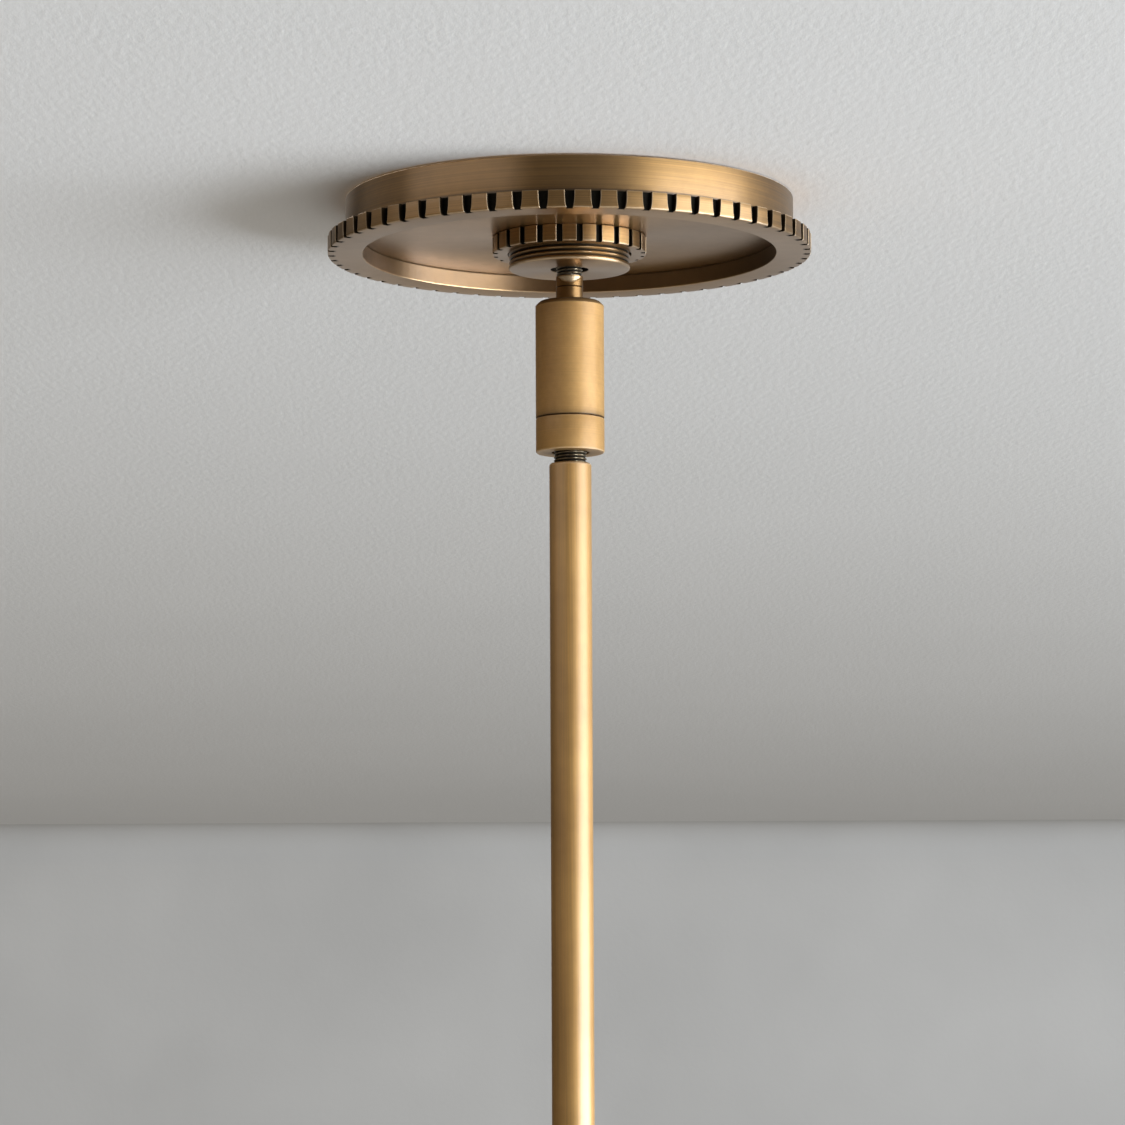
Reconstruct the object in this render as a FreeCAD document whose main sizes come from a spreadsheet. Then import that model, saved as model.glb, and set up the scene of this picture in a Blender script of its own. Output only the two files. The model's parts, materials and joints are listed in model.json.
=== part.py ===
import FreeCAD, Part
import math
import os

import Sketcher

# Globe pendant light, in millimetres.
# The origin is on the light's axis in the plane of the ceiling, with +Z up, so all of it lies below zero.
# Each piece is drawn above its own base, and its base lies a given drop below the ceiling.

os.makedirs("parts", exist_ok=True)
doc = FreeCAD.newDocument("GlobePendant")
Vector = FreeCAD.Vector

SIZES = {
    # room between pieces that turn or slide past each other, and between pieces that are screwed together
    "free_gap": 0.3,
    "thread_gap": 0.05,
    # ceiling bar that screws to the junction box
    "bar_width": 24.0,
    "bar_thickness": 2.0,
    "bar_wire_hole": 8.0,
    "box_spacing": 79.4,
    "box_slot_length": 14.4,
    "box_slot_radius": 2.4,
    "bar_end": 5.1,
    "bar_screw_radius": 1.5,
    "bar_screw_head": 2.9,
    "bar_screw_length": 9.0,
    "earth_offset": 27.0,
    "earth_head": 3.6,
    "earth_head_height": 2.2,
    # canopy: a spun pan and a toothed ring soldered under it
    "canopy_height": 11.45,
    "pan_wall": 1.5,
    "rim_radius": 73.35,
    "rim_step": 5.35,
    "rim_lip": 10.55,
    "rim_height": 5.3,
    "rim_bevel": 0.4,
    "rim_teeth": 60.0,
    "rim_slot_width": 2.4,
    "rim_slot_depth": 1.8,
    # threaded hub that carries everything, and the toothed ring nut on it
    "hub_radius": 18.45,
    "hub_drop": 21.35,
    "hub_wall": 4.45,
    "hub_floor": 3.0,
    "hub_hole": 5.7,
    "hub_bevel": 0.8,
    "hub_pitch": 1.5,
    "hub_thread_depth": 0.7,
    "collar_radius": 23.35,
    "collar_height": 5.2,
    "collar_bevel": 0.35,
    "collar_teeth": 24.0,
    "collar_slot_width": 2.1,
    "collar_slot_depth": 1.3,
    "felt_width": 2.1,
    "felt_thickness": 0.9,
    "felt_proud": 0.1,
    # threaded tube through the hub's floor, with its washer and nuts
    "stud_radius": 4.0,
    "stud_bore": 2.1,
    "stud_pitch": 1.0,
    "stud_thread_depth": 0.5,
    "stud_spigot_radius": 2.9,
    "stud_spigot_length": 6.0,
    "stud_top": 1.2,
    "stud_washer_radius": 10.0,
    "stud_washer_thickness": 1.5,
    "stud_nut_across": 13.0,
    "stud_nut_height": 5.0,
    "stud_locknut_height": 3.2,
    # neck and ball
    "neck_radius": 4.1,
    "neck_drop": 23.6,
    "notch_radius": 1.1,
    "ball_radius": 7.4,
    "ball_flat": 4.0,
    "ball_depth": 6.6,
    "liner_thickness": 0.8,
    "liner_below": 4.1,
    "liner_above": 3.4,
    "ball_gap": 0.1,
    # swivel
    "swivel_radius": 10.37,
    "swivel_drop": 31.3,
    "swivel_height": 35.65,
    "swivel_bevel": 1.3,
    "swivel_bore": 8.6,
    "lip_rise": 4.2,
    "mouth_flare": 1.2,
    "ring_seam": 0.35,
    "ring_height": 10.25,
    "ring_bevel": 0.5,
    "ring_spigot": 7.0,
    "ring_recess_radius": 5.7,
    "ring_recess_depth": 2.0,
    # stem and its two threaded tubes
    "nipple_radius": 5.0,
    "nipple_bore": 3.4,
    "nipple_pitch": 1.0,
    "nipple_thread_depth": 0.5,
    "nipple_grip": 14.0,
    "nipple_show": 3.25,
    "stem_radius": 6.35,
    "stem_length": 304.8,
    "stem_bevel": 1.0,
    # coupler and cap over the globe
    "coupler_height": 16.0,
    "cap_radius": 46.0,
    "cap_height": 15.0,
    "cap_wall": 1.8,
    "cap_bevel": 1.0,
    "cap_washer_radius": 11.0,
    "cap_washer_thickness": 1.5,
    "cap_nut_across": 16.0,
    "cap_nut_height": 4.0,
    # lampholder
    "socket_cap_radius": 21.2,
    "socket_cap_height": 17.0,
    "socket_cap_wall": 1.2,
    "socket_shoulder": 5.0,
    "nipple_end": 8.0,
    "socket_lap": 8.0,
    "socket_height": 36.0,
    "socket_floor": 8.0,
    "shell_radius": 14.6,
    "shell_wall": 0.5,
    "shell_wave": 0.5,
    "shell_height": 24.0,
    "contact_radius": 4.0,
    "contact_height": 2.5,
    "contact_gap": 0.2,
    # lamp
    "lamp_tip_radius": 4.6,
    "lamp_tip_height": 1.5,
    "lamp_insulator_height": 4.0,
    "lamp_insulator_radius": 9.5,
    "lamp_cap_radius": 13.0,
    "lamp_cap_wave": 0.5,
    "lamp_cap_wall": 0.6,
    "lamp_cap_height": 24.0,
    "lamp_neck_radius": 11.7,
    "lamp_neck_length": 10.0,
    "lamp_neck_lap": 5.0,
    "lamp_radius": 30.0,
    "lamp_sweep": 45.0,
    "lamp_wall": 0.9,
    "mount_rod": 2.2,
    "mount_crown": 7.4,
    "mount_crown_thickness": 1.0,
    "mount_start": 16.0,
    "filament_length": 34.0,
    "filament_radius": 1.0,
    "filament_circle": 5.8,
    "filament_count": 4.0,
    # globe, with the toothed screw collar bonded to its neck
    "seal_thickness": 2.0,
    "seal_inner": 37.6,
    "globe_radius": 127.0,
    "globe_wall": 3.0,
    "globe_neck": 40.0,
    "globe_sweep": 10.0,
    "globe_shoulder": 1.5,
    "bond_thickness": 1.0,
    "fitter_radius": 51.4,
    "fitter_height": 5.3,
    "fitter_teeth": 42.0,
    "fitter_pitch": 3.0,
    "fitter_thread_depth": 0.9,
}

sheet = doc.addObject("Spreadsheet::Sheet", "Sizes")
for row, (alias, number) in enumerate(SIZES.items(), start=1):
    sheet.set("A%d" % row, alias)
    sheet.set("B%d" % row, str(number))
    sheet.setAlias("B%d" % row, alias)
doc.recompute()


class Size:
    """A length together with the spreadsheet expression that it comes from."""

    def __init__(self, text, number):
        self.text = text
        self.number = float(number)

    def joined(self, sign, other, number):
        return Size("(%s %s %s)" % (self.text, sign, as_size(other).text), number)

    def __add__(self, other):
        return self.joined("+", other, self.number + as_size(other).number)

    def __sub__(self, other):
        return self.joined("-", other, self.number - as_size(other).number)

    def __mul__(self, other):
        return self.joined("*", other, self.number * as_size(other).number)

    def __truediv__(self, other):
        return self.joined("/", other, self.number / as_size(other).number)

    def __neg__(self):
        return Size("(0 - %s)" % self.text, -self.number)


def as_size(value):
    if isinstance(value, Size):
        return value
    return Size(repr(float(value)), value)


def root(value):
    return Size("sqrt(%s)" % value.text, math.sqrt(value.number))


def whole(value):
    """A count, rounded down."""
    return Size("floor(%s)" % value.text, math.floor(value.number + 1e-9))


def leg(hypotenuse, side):
    """The other short side of a right-angled triangle."""
    return root(hypotenuse * hypotenuse - side * side)


class Named:
    """Each size of the table under its own name."""

    def __getattr__(self, alias):
        return Size("Sizes." + alias, float(getattr(sheet, alias)))


at = Named()
NONE = as_size(0)


# Sketches and features

def plane_of(body, role):
    for feature in body.Origin.OriginFeatures:
        if feature.Role == role:
            return feature
    raise ValueError(role)


def sketch_on(body, role, name):
    """A sketch on one of the body's own origin planes."""
    sketch = body.newObject("Sketcher::SketchObject", name)
    sketch.AttachmentSupport = (plane_of(body, role), [""])
    sketch.MapMode = "FlatFace"
    return sketch


def pin(sketch, curve, point, x, y):
    """Ties one point of a curve to its distances from the sketch's origin."""
    if x is not None:
        if x.number == 0:
            sketch.addConstraint(Sketcher.Constraint("PointOnObject", curve, point, -2))
        else:
            rule = Sketcher.Constraint("DistanceX", -1, 1, curve, point, x.number)
            sketch.setExpression("Constraints[%d]" % sketch.addConstraint(rule), x.text)
    if y is not None:
        if y.number == 0:
            sketch.addConstraint(Sketcher.Constraint("PointOnObject", curve, point, -1))
        else:
            rule = Sketcher.Constraint("DistanceY", -1, 1, curve, point, y.number)
            sketch.setExpression("Constraints[%d]" % sketch.addConstraint(rule), y.text)


def draw_outline(sketch, corners):
    """Draws a closed outline. A corner is (x, y), or (x, y, cx, cy) where an arc about (cx, cy) leads to it."""
    corners = [tuple(as_size(value) for value in corner) for corner in corners]
    ends = []
    for here, there in zip(corners, corners[1:] + corners[:1]):
        start = Vector(here[0].number, here[1].number, 0)
        stop = Vector(there[0].number, there[1].number, 0)
        if len(there) == 2:
            curve = sketch.addGeometry(Part.LineSegment(start, stop), False)
            ends.append((curve, 1, 2))
            continue
        middle = Vector(there[2].number, there[3].number, 0)
        from_angle = math.atan2(start.y - middle.y, start.x - middle.x)
        to_angle = math.atan2(stop.y - middle.y, stop.x - middle.x)
        turn = (to_angle - from_angle + math.pi) % (2 * math.pi) - math.pi
        circle = Part.Circle(middle, Vector(0, 0, 1), (start - middle).Length)
        if turn > 0:
            curve = sketch.addGeometry(Part.ArcOfCircle(circle, from_angle, from_angle + turn), False)
            ends.append((curve, 1, 2))
        else:
            curve = sketch.addGeometry(Part.ArcOfCircle(circle, to_angle, to_angle - turn), False)
            ends.append((curve, 2, 1))
        pin(sketch, curve, 3, there[2], None)
    for (one, _, stop), (other, start, _) in zip(ends, ends[1:] + ends[:1]):
        sketch.addConstraint(Sketcher.Constraint("Coincident", one, stop, other, start))
    for (curve, start, _), corner in zip(ends, corners):
        pin(sketch, curve, start, corner[0], corner[1])


def draw_circle(sketch, x, y, radius):
    circle = Part.Circle(Vector(x.number, y.number, 0), Vector(0, 0, 1), radius.number)
    curve = sketch.addGeometry(circle, False)
    pin(sketch, curve, 3, x, y)
    rule = Sketcher.Constraint("Radius", curve, radius.number)
    sketch.setExpression("Constraints[%d]" % sketch.addConstraint(rule), radius.text)


def new_body(label, drop, turned_by=0.0):
    """A piece whose base lies a drop below the ceiling."""
    body = doc.addObject("PartDesign::Body", label)
    body.Label = label
    body.Placement = FreeCAD.Placement(
        Vector(0, 0, -drop.number), FreeCAD.Rotation(Vector(0, 0, 1), turned_by)
    )
    body.setExpression("Placement.Base.z", (-drop).text)
    return body


def upright(sketch, reach):
    """A construction line at a reach from the axis, to turn things about."""
    low = Vector(reach.number, 0, 0)
    line = sketch.addGeometry(Part.LineSegment(low, low + Vector(0, 10, 0)), True)
    sketch.addConstraint(Sketcher.Constraint("Vertical", line))
    pin(sketch, line, 1, reach, NONE)
    pin(sketch, line, 2, None, as_size(10))


def revolve(body, corners, off_axis=None, name="turn"):
    """Turns an outline about Z, or about an upright line at off_axis."""
    sketch = sketch_on(body, "XZ_Plane", body.Label + "_" + name + "_outline")
    draw_outline(sketch, corners)
    axis = "V_Axis"
    if off_axis is not None:
        upright(sketch, off_axis)
        axis = "Axis0"
    feature = body.newObject("PartDesign::Revolution", body.Label + "_" + name)
    feature.Profile = sketch
    feature.ReferenceAxis = (sketch, [axis])
    feature.Angle = 360
    return feature


def turned(label, corners, drop, turned_by=0.0):
    body = new_body(label, drop, turned_by)
    revolve(body, corners)
    return body


def cut_less(body, make):
    """Makes a cut and sees that it has taken something off."""
    doc.recompute()
    before = body.Shape.Volume
    feature = make()
    doc.recompute()
    if not body.Shape.Volume < before - 1e-6:
        raise ValueError(body.Label + ": a cut took nothing off")
    return feature


def cut_up(body, sketch, depth=None):
    """Cuts a sketch upwards, right through or to a depth."""

    def make():
        cut = body.newObject("PartDesign::Pocket", sketch.Name + "_cut")
        cut.Profile = sketch
        cut.Reversed = True
        if depth is None:
            cut.Type = "ThroughAll"
        else:
            cut.Type = "Length"
            cut.Length = depth.number
            cut.setExpression("Length", depth.text)
        return cut

    return cut_less(body, make)


def round_about(body, feature, count, axis):
    """Repeats a feature evenly about the body's axis."""
    pattern = body.newObject("PartDesign::PolarPattern", feature.Name + "_ring")
    pattern.Originals = [feature]
    pattern.Axis = axis
    pattern.Angle = 360
    pattern.Occurrences = int(count.number)
    pattern.setExpression("Occurrences", count.text)
    body.Tip = pattern
    return pattern


def cut_teeth(body, count, radius, width, depth):
    """Mills slots into the outside of a ring, which leaves it toothed."""
    sketch = sketch_on(body, "XY_Plane", body.Label + "_slot")
    side = width / 2
    bottom = radius - depth
    beyond = radius + width
    draw_outline(sketch, [(bottom, -side), (beyond, -side), (beyond, side), (bottom, side)])
    slot = cut_up(body, sketch)
    cut_less(body, lambda: round_about(body, slot, count, (sketch, ["N_Axis"])))


def cut_threads(body, crest, depth, pitch, count, start):
    """Turns a row of vee grooves, one pitch apart, into the outside of a piece."""
    sketch = sketch_on(body, "XZ_Plane", body.Label + "_vee")
    half = pitch * 0.42
    beyond = crest + depth * 0.25
    draw_outline(
        sketch,
        [
            (beyond, start - half * 1.25),
            (crest - depth, start - pitch * 0.06),
            (crest - depth, start + pitch * 0.06),
            (beyond, start + half * 1.25),
        ],
    )

    def make():
        groove = body.newObject("PartDesign::Groove", body.Label + "_groove")
        groove.Profile = sketch
        groove.ReferenceAxis = (sketch, ["V_Axis"])
        groove.Angle = 360
        return groove

    groove = cut_less(body, make)

    def repeat():
        pattern = body.newObject("PartDesign::LinearPattern", body.Label + "_thread")
        pattern.Originals = [groove]
        pattern.Direction = (sketch, ["V_Axis"])
        run = pitch * (count - 1)
        pattern.Length = run.number
        pattern.setExpression("Length", run.text)
        pattern.Occurrences = int(count.number)
        pattern.setExpression("Occurrences", count.text)
        body.Tip = pattern
        return pattern

    cut_less(body, repeat)


def drill(body, reach, corners, count):
    """Turns a round hole about an upright line at a reach from the axis, and repeats it about the axis."""
    sketch = sketch_on(body, "XZ_Plane", body.Label + "_drill")
    draw_outline(sketch, corners)
    upright(sketch, reach)

    def make():
        hole = body.newObject("PartDesign::Groove", body.Label + "_hole")
        hole.Profile = sketch
        hole.ReferenceAxis = (sketch, ["Axis0"])
        hole.Angle = 360
        return hole

    hole = cut_less(body, make)
    cut_less(body, lambda: round_about(body, hole, count, (sketch, ["V_Axis"])))


def hexagon(across):
    """Corners of a hexagon from its width across the flats."""
    reach = across / math.sqrt(3)
    corners = []
    for step in range(6):
        angle = math.radians(60 * step)
        corners.append((reach * math.cos(angle), reach * math.sin(angle)))
    return corners


def nut(label, across, height, hole, drop):
    """A hexagon nut with its hole."""
    body = new_body(label, drop)
    sketch = sketch_on(body, "XY_Plane", label + "_hexagon")
    draw_outline(sketch, hexagon(across))
    pad = body.newObject("PartDesign::Pad", label + "_block")
    pad.Profile = sketch
    pad.Length = height.number
    pad.setExpression("Length", height.text)
    bore = sketch_on(body, "XY_Plane", label + "_bore")
    draw_circle(bore, NONE, NONE, hole)
    cut_up(body, bore)
    return body


def washer(label, inner, outer, thickness, drop):
    flat = [(inner, 0), (outer, 0), (outer, thickness), (inner, thickness)]
    return turned(label, flat, drop)


def tube(label, bore, radius, length, bevel, drop):
    """A plain tube with both outer edges bevelled."""
    corners = [
        (bore, 0),
        (radius - bevel, 0),
        (radius, bevel),
        (radius, length - bevel),
        (radius - bevel, length),
        (bore, length),
    ]
    return turned(label, corners, drop)


def flask(radius, neck, sweep, wall, neck_length):
    """Outline of a blown bulb with a straight neck, above its lowest point, and the height of its rim.

    The neck runs into the ball through an arc that is tangent to both.
    """
    reach = neck + sweep
    rise = leg(radius + sweep, reach)
    waist = radius + rise
    rim = waist + neck_length
    share = radius / (radius + sweep)
    inner_share = (radius - wall) / (radius + sweep)
    outline = [
        (0, wall, 0, radius),
        (0, 0),
        (reach * share, radius + rise * share, 0, radius),
        (neck, waist, reach, waist),
        (neck, rim),
        (neck - wall, rim),
        (neck - wall, waist),
        (reach * inner_share, radius + rise * inner_share, reach, waist),
    ]
    return outline, rim


def waves(radius, wave, height, count):
    """Points up a rolled screw thread, seen in section."""
    points = []
    step = height / (2 * count)
    for index in range(2 * count + 1):
        level = step * index
        points.append((radius if index % 2 else radius - wave, level))
    return points


# Levels below the ceiling, worked out from the sizes above

hub_length = at.hub_drop - at.bar_thickness
plate_drop = at.canopy_height
rim_drop = plate_drop + at.rim_height
collar_drop = plate_drop + at.felt_proud + at.collar_height
hub_floor_drop = at.hub_drop - at.hub_floor
stud_nut_drop = hub_floor_drop - at.stud_washer_thickness
stud_locknut_drop = stud_nut_drop - at.stud_nut_height
stud_top_drop = stud_locknut_drop - at.stud_locknut_height - at.stud_top
ball_drop = at.swivel_drop + at.ball_depth
ball_flat_below = leg(at.ball_radius, at.ball_flat)
seam_drop = at.swivel_drop + at.swivel_height
ring_drop = seam_drop + at.ring_seam + at.ring_height
stem_top_drop = ring_drop + at.nipple_show
stem_drop = stem_top_drop + at.stem_length
coupler_drop = stem_drop + at.nipple_show + at.coupler_height
cap_drop = coupler_drop + at.cap_height
cap_inside_drop = coupler_drop + at.cap_wall
cap_washer_drop = cap_inside_drop + at.cap_washer_thickness
cap_nut_drop = cap_washer_drop + at.cap_nut_height
socket_cap_drop = cap_nut_drop + at.socket_cap_height
socket_top_drop = socket_cap_drop - at.socket_lap
socket_drop = socket_top_drop + at.socket_height
socket_floor_drop = socket_top_drop + at.socket_floor
contact_drop = socket_floor_drop + at.contact_height
seal_drop = cap_inside_drop + at.seal_thickness
fitter_top_drop = cap_drop + at.free_gap
fitter_drop = fitter_top_drop + at.fitter_height

# Ceiling bar, with slots for the junction box, a wire hole and screw holes

bar = new_body("crossbar", at.bar_thickness)
bar_sketch = sketch_on(bar, "XY_Plane", "crossbar_blank")
half_long = at.box_spacing / 2 + at.box_slot_length / 2 + at.bar_end
half_wide = at.bar_width / 2
corner = half_wide * 0.5
draw_outline(
    bar_sketch,
    [
        (corner - half_long, -half_wide),
        (half_long - corner, -half_wide),
        (half_long, corner - half_wide),
        (half_long, half_wide - corner),
        (half_long - corner, half_wide),
        (corner - half_long, half_wide),
        (-half_long, half_wide - corner),
        (-half_long, corner - half_wide),
    ],
)
bar_plate = bar.newObject("PartDesign::Pad", "crossbar_plate")
bar_plate.Profile = bar_sketch
bar_plate.setExpression("Length", at.bar_thickness.text)
bar_holes = sketch_on(bar, "XY_Plane", "crossbar_holes")
draw_circle(bar_holes, NONE, NONE, at.bar_wire_hole)
draw_circle(bar_holes, at.earth_offset, NONE, at.bar_screw_radius + at.thread_gap)
cut_up(bar, bar_holes)
slot_run = at.box_slot_length / 2 - at.box_slot_radius
for hand, side in (("left", -1), ("right", 1)):
    near = at.box_spacing * side / 2 - slot_run
    far = at.box_spacing * side / 2 + slot_run
    slot_sketch = sketch_on(bar, "XY_Plane", "crossbar_slot_" + hand)
    draw_outline(
        slot_sketch,
        [
            (near, -at.box_slot_radius, near, 0),
            (far, -at.box_slot_radius),
            (far + at.box_slot_radius, 0, far, 0),
            (far, at.box_slot_radius, far, 0),
            (near, at.box_slot_radius),
            (near - at.box_slot_radius, 0, near, 0),
        ],
    )
    cut_up(bar, slot_sketch)

# Two countersunk screws hold the hub to the bar

screw_reach = at.hub_radius - at.hub_wall / 2
sink = at.bar_screw_head - at.bar_screw_radius
screw_hole = at.bar_screw_radius + at.thread_gap
drill(
    bar,
    screw_reach,
    [
        (screw_reach, 0),
        (screw_reach + screw_hole, 0),
        (screw_reach + screw_hole, at.bar_thickness - sink),
        (screw_reach + screw_hole + sink, at.bar_thickness),
        (screw_reach, at.bar_thickness),
    ],
    as_size(2),
)
hub_screws = new_body("hub_screws", at.bar_screw_length + at.thread_gap)
hub_screw = revolve(
    hub_screws,
    [
        (screw_reach, 0),
        (screw_reach + at.bar_screw_radius, 0),
        (screw_reach + at.bar_screw_radius, at.bar_screw_length - sink),
        (screw_reach + at.bar_screw_head, at.bar_screw_length),
        (screw_reach, at.bar_screw_length),
    ],
    screw_reach,
)
round_about(hub_screws, hub_screw, as_size(2), (hub_screw.Profile[0], ["V_Axis"]))

earth_screw = new_body("earth_screw", at.bar_thickness + at.earth_head_height)
revolve(
    earth_screw,
    [
        (at.earth_offset, 0),
        (at.earth_offset + at.earth_head * 0.8, 0),
        (at.earth_offset + at.earth_head, at.earth_head_height * 0.4),
        (at.earth_offset + at.earth_head, at.earth_head_height),
        (at.earth_offset + at.bar_screw_radius, at.earth_head_height),
        (at.earth_offset + at.bar_screw_radius, at.earth_head_height + at.bar_thickness * 0.95),
        (at.earth_offset, at.earth_head_height + at.bar_thickness * 0.95),
    ],
    at.earth_offset,
)

# Threaded hub: a cup open at the top, with a clearance hole in its floor

hub_inside = at.hub_radius - at.hub_wall
hub = turned(
    "hub",
    [
        (at.hub_hole, 0),
        (at.hub_radius - at.hub_bevel, 0),
        (at.hub_radius, at.hub_bevel),
        (at.hub_radius, hub_length),
        (hub_inside, hub_length),
        (hub_inside, at.hub_floor),
        (at.hub_hole, at.hub_floor),
    ],
    at.hub_drop,
)
tapped_to = hub_length + at.bar_thickness - at.bar_screw_length - at.free_gap
drill(
    hub,
    screw_reach,
    [
        (screw_reach, tapped_to),
        (screw_reach + screw_hole, tapped_to),
        (screw_reach + screw_hole, hub_length),
        (screw_reach, hub_length),
    ],
    as_size(2),
)
hub_thread_start = at.hub_bevel + at.hub_pitch * 0.7
hub_turns = whole((hub_length - hub_thread_start) * 0.75 / at.hub_pitch)
cut_threads(hub, at.hub_radius, at.hub_thread_depth, at.hub_pitch, hub_turns, hub_thread_start)

# Canopy: the pan and the toothed ring under it

pan_hole = at.hub_radius + at.free_gap * 1.5
canopy_radius = at.rim_radius - at.rim_step
rim_bore = at.rim_radius - at.rim_lip
turned(
    "canopy_pan",
    [
        (pan_hole, 0),
        (canopy_radius, 0),
        (canopy_radius, at.canopy_height),
        (canopy_radius - at.pan_wall, at.canopy_height),
        (canopy_radius - at.pan_wall, at.pan_wall),
        (pan_hole, at.pan_wall),
    ],
    plate_drop,
)
rim = turned(
    "canopy_rim",
    [
        (rim_bore, 0),
        (at.rim_radius - at.rim_bevel, 0),
        (at.rim_radius, at.rim_bevel),
        (at.rim_radius, at.rim_height - at.rim_bevel),
        (at.rim_radius - at.rim_bevel, at.rim_height),
        (rim_bore, at.rim_height),
    ],
    rim_drop,
)
cut_teeth(rim, at.rim_teeth, at.rim_radius, at.rim_slot_width, at.rim_slot_depth)

# Toothed ring nut, with a fibre washer let into its top face

felt_inner = at.hub_radius + at.free_gap * 1.5
felt_outer = felt_inner + at.felt_width
felt_recess = felt_outer + at.free_gap
recess_floor = at.collar_height - at.felt_thickness + at.felt_proud
collar_bore = at.hub_radius + at.free_gap
collar = turned(
    "collar_ring",
    [
        (collar_bore, 0),
        (at.collar_radius - at.collar_bevel, 0),
        (at.collar_radius, at.collar_bevel),
        (at.collar_radius, at.collar_height - at.collar_bevel),
        (at.collar_radius - at.collar_bevel, at.collar_height),
        (felt_recess, at.collar_height),
        (felt_recess, recess_floor),
        (collar_bore, recess_floor),
    ],
    collar_drop,
    180 / at.collar_teeth.number,
)
cut_teeth(collar, at.collar_teeth, at.collar_radius, at.collar_slot_width, at.collar_slot_depth)
washer("friction_washer", felt_inner, felt_outer, at.felt_thickness, plate_drop + at.felt_thickness)

# Threaded tube through the hub's floor, hung there on a washer and two nuts

stud_length = at.neck_drop + at.stud_spigot_length - stud_top_drop
stud = turned(
    "stud_nipple",
    [
        (at.stud_bore, 0),
        (at.stud_spigot_radius, 0),
        (at.stud_spigot_radius, at.stud_spigot_length),
        (at.stud_radius, at.stud_spigot_length),
        (at.stud_radius, stud_length),
        (at.stud_bore, stud_length),
    ],
    at.neck_drop + at.stud_spigot_length,
)
stud_turns = whole((stud_length - at.stud_spigot_length) / at.stud_pitch) - 1
stud_start = at.stud_spigot_length + at.stud_pitch * 0.8
cut_threads(stud, at.stud_radius, at.stud_thread_depth, at.stud_pitch, stud_turns, stud_start)
stud_hole = at.stud_radius + at.thread_gap
washer("stud_washer", stud_hole, at.stud_washer_radius, at.stud_washer_thickness, hub_floor_drop)
nut("stud_nut", at.stud_nut_across, at.stud_nut_height, stud_hole, stud_nut_drop)
nut("stud_locknut", at.stud_nut_across, at.stud_locknut_height, stud_hole, stud_locknut_drop)

# Neck and ball in one piece, with a wrench notch on each side of the neck

ball_base_drop = ball_drop + ball_flat_below
neck_top = ball_base_drop - at.neck_drop
neck_hole = at.stud_spigot_radius + at.thread_gap
neck_hole_floor = neck_top - at.stud_spigot_length - at.thread_gap
ball_stud = turned(
    "ball_stud",
    [
        (at.stud_bore, 0),
        (at.ball_flat, 0),
        (at.neck_radius, ball_flat_below + leg(at.ball_radius, at.neck_radius), 0, ball_flat_below),
        (at.neck_radius, neck_top),
        (neck_hole, neck_top),
        (neck_hole, neck_hole_floor),
        (at.stud_bore, neck_hole_floor),
    ],
    ball_base_drop,
)
notches = sketch_on(ball_stud, "YZ_Plane", "ball_stud_notches")
notch_level = neck_top - at.notch_radius * 1.25
draw_circle(notches, at.neck_radius, notch_level, at.notch_radius)
draw_circle(notches, -at.neck_radius, notch_level, at.notch_radius)


def mill_notches():
    cut = ball_stud.newObject("PartDesign::Pocket", "ball_stud_notch_cut")
    cut.Profile = notches
    cut.Type = "ThroughAll"
    cut.Midplane = True
    return cut


cut_less(ball_stud, mill_notches)

# Liner round the ball's middle

liner_in = at.ball_radius + at.ball_gap
liner_out = liner_in + at.liner_thickness
liner_top = at.liner_below + at.liner_above
turned(
    "ball_liner",
    [
        (leg(liner_in, at.liner_below), 0, 0, at.liner_below),
        (leg(liner_out, at.liner_below), 0),
        (leg(liner_out, at.liner_above), liner_top, 0, at.liner_below),
        (leg(liner_in, at.liner_above), liner_top),
    ],
    ball_drop + at.liner_below,
)

# Swivel body: a tube whose conical seat hangs on the liner, and whose mouth flares for the neck to lean

SEAT_LATITUDE = math.radians(25)
seat_radius = liner_out + at.ball_gap
seat_touch = seat_radius * math.cos(SEAT_LATITUDE)
seat_rise = seat_radius * math.sin(SEAT_LATITUDE)
seat_slope = math.tan(SEAT_LATITUDE)
ball_level = at.swivel_height - at.ball_depth
lip_radius = seat_touch - (at.lip_rise - seat_rise) * seat_slope
seat_end = ball_level + seat_rise - (at.swivel_bore - seat_touch) / seat_slope
turned(
    "swivel_body",
    [
        (at.swivel_bore, 0),
        (at.swivel_radius, 0),
        (at.swivel_radius, at.swivel_height - at.swivel_bevel),
        (at.swivel_radius - at.swivel_bevel, at.swivel_height),
        (lip_radius + at.mouth_flare, at.swivel_height),
        (lip_radius, ball_level + at.lip_rise),
        (at.swivel_bore, seat_end),
    ],
    seam_drop,
)
spigot_radius = at.swivel_bore - at.thread_gap
nipple_hole = at.nipple_radius + at.thread_gap
ring_top = at.ring_height + at.ring_spigot
turned(
    "swivel_ring",
    [
        (at.ring_recess_radius, 0),
        (at.swivel_radius - at.ring_bevel, 0),
        (at.swivel_radius, at.ring_bevel),
        (at.swivel_radius, at.ring_height),
        (spigot_radius, at.ring_height),
        (spigot_radius, ring_top),
        (nipple_hole, ring_top),
        (nipple_hole, at.ring_recess_depth),
        (at.ring_recess_radius, at.ring_recess_depth),
    ],
    ring_drop,
)

# Stem between two threaded tubes


def nipple(label, length, drop):
    body = washer(label, at.nipple_bore, at.nipple_radius, length, drop)
    turns = whole(length / at.nipple_pitch) - 1
    start = at.nipple_pitch * 0.8
    cut_threads(body, at.nipple_radius, at.nipple_thread_depth, at.nipple_pitch, turns, start)


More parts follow.
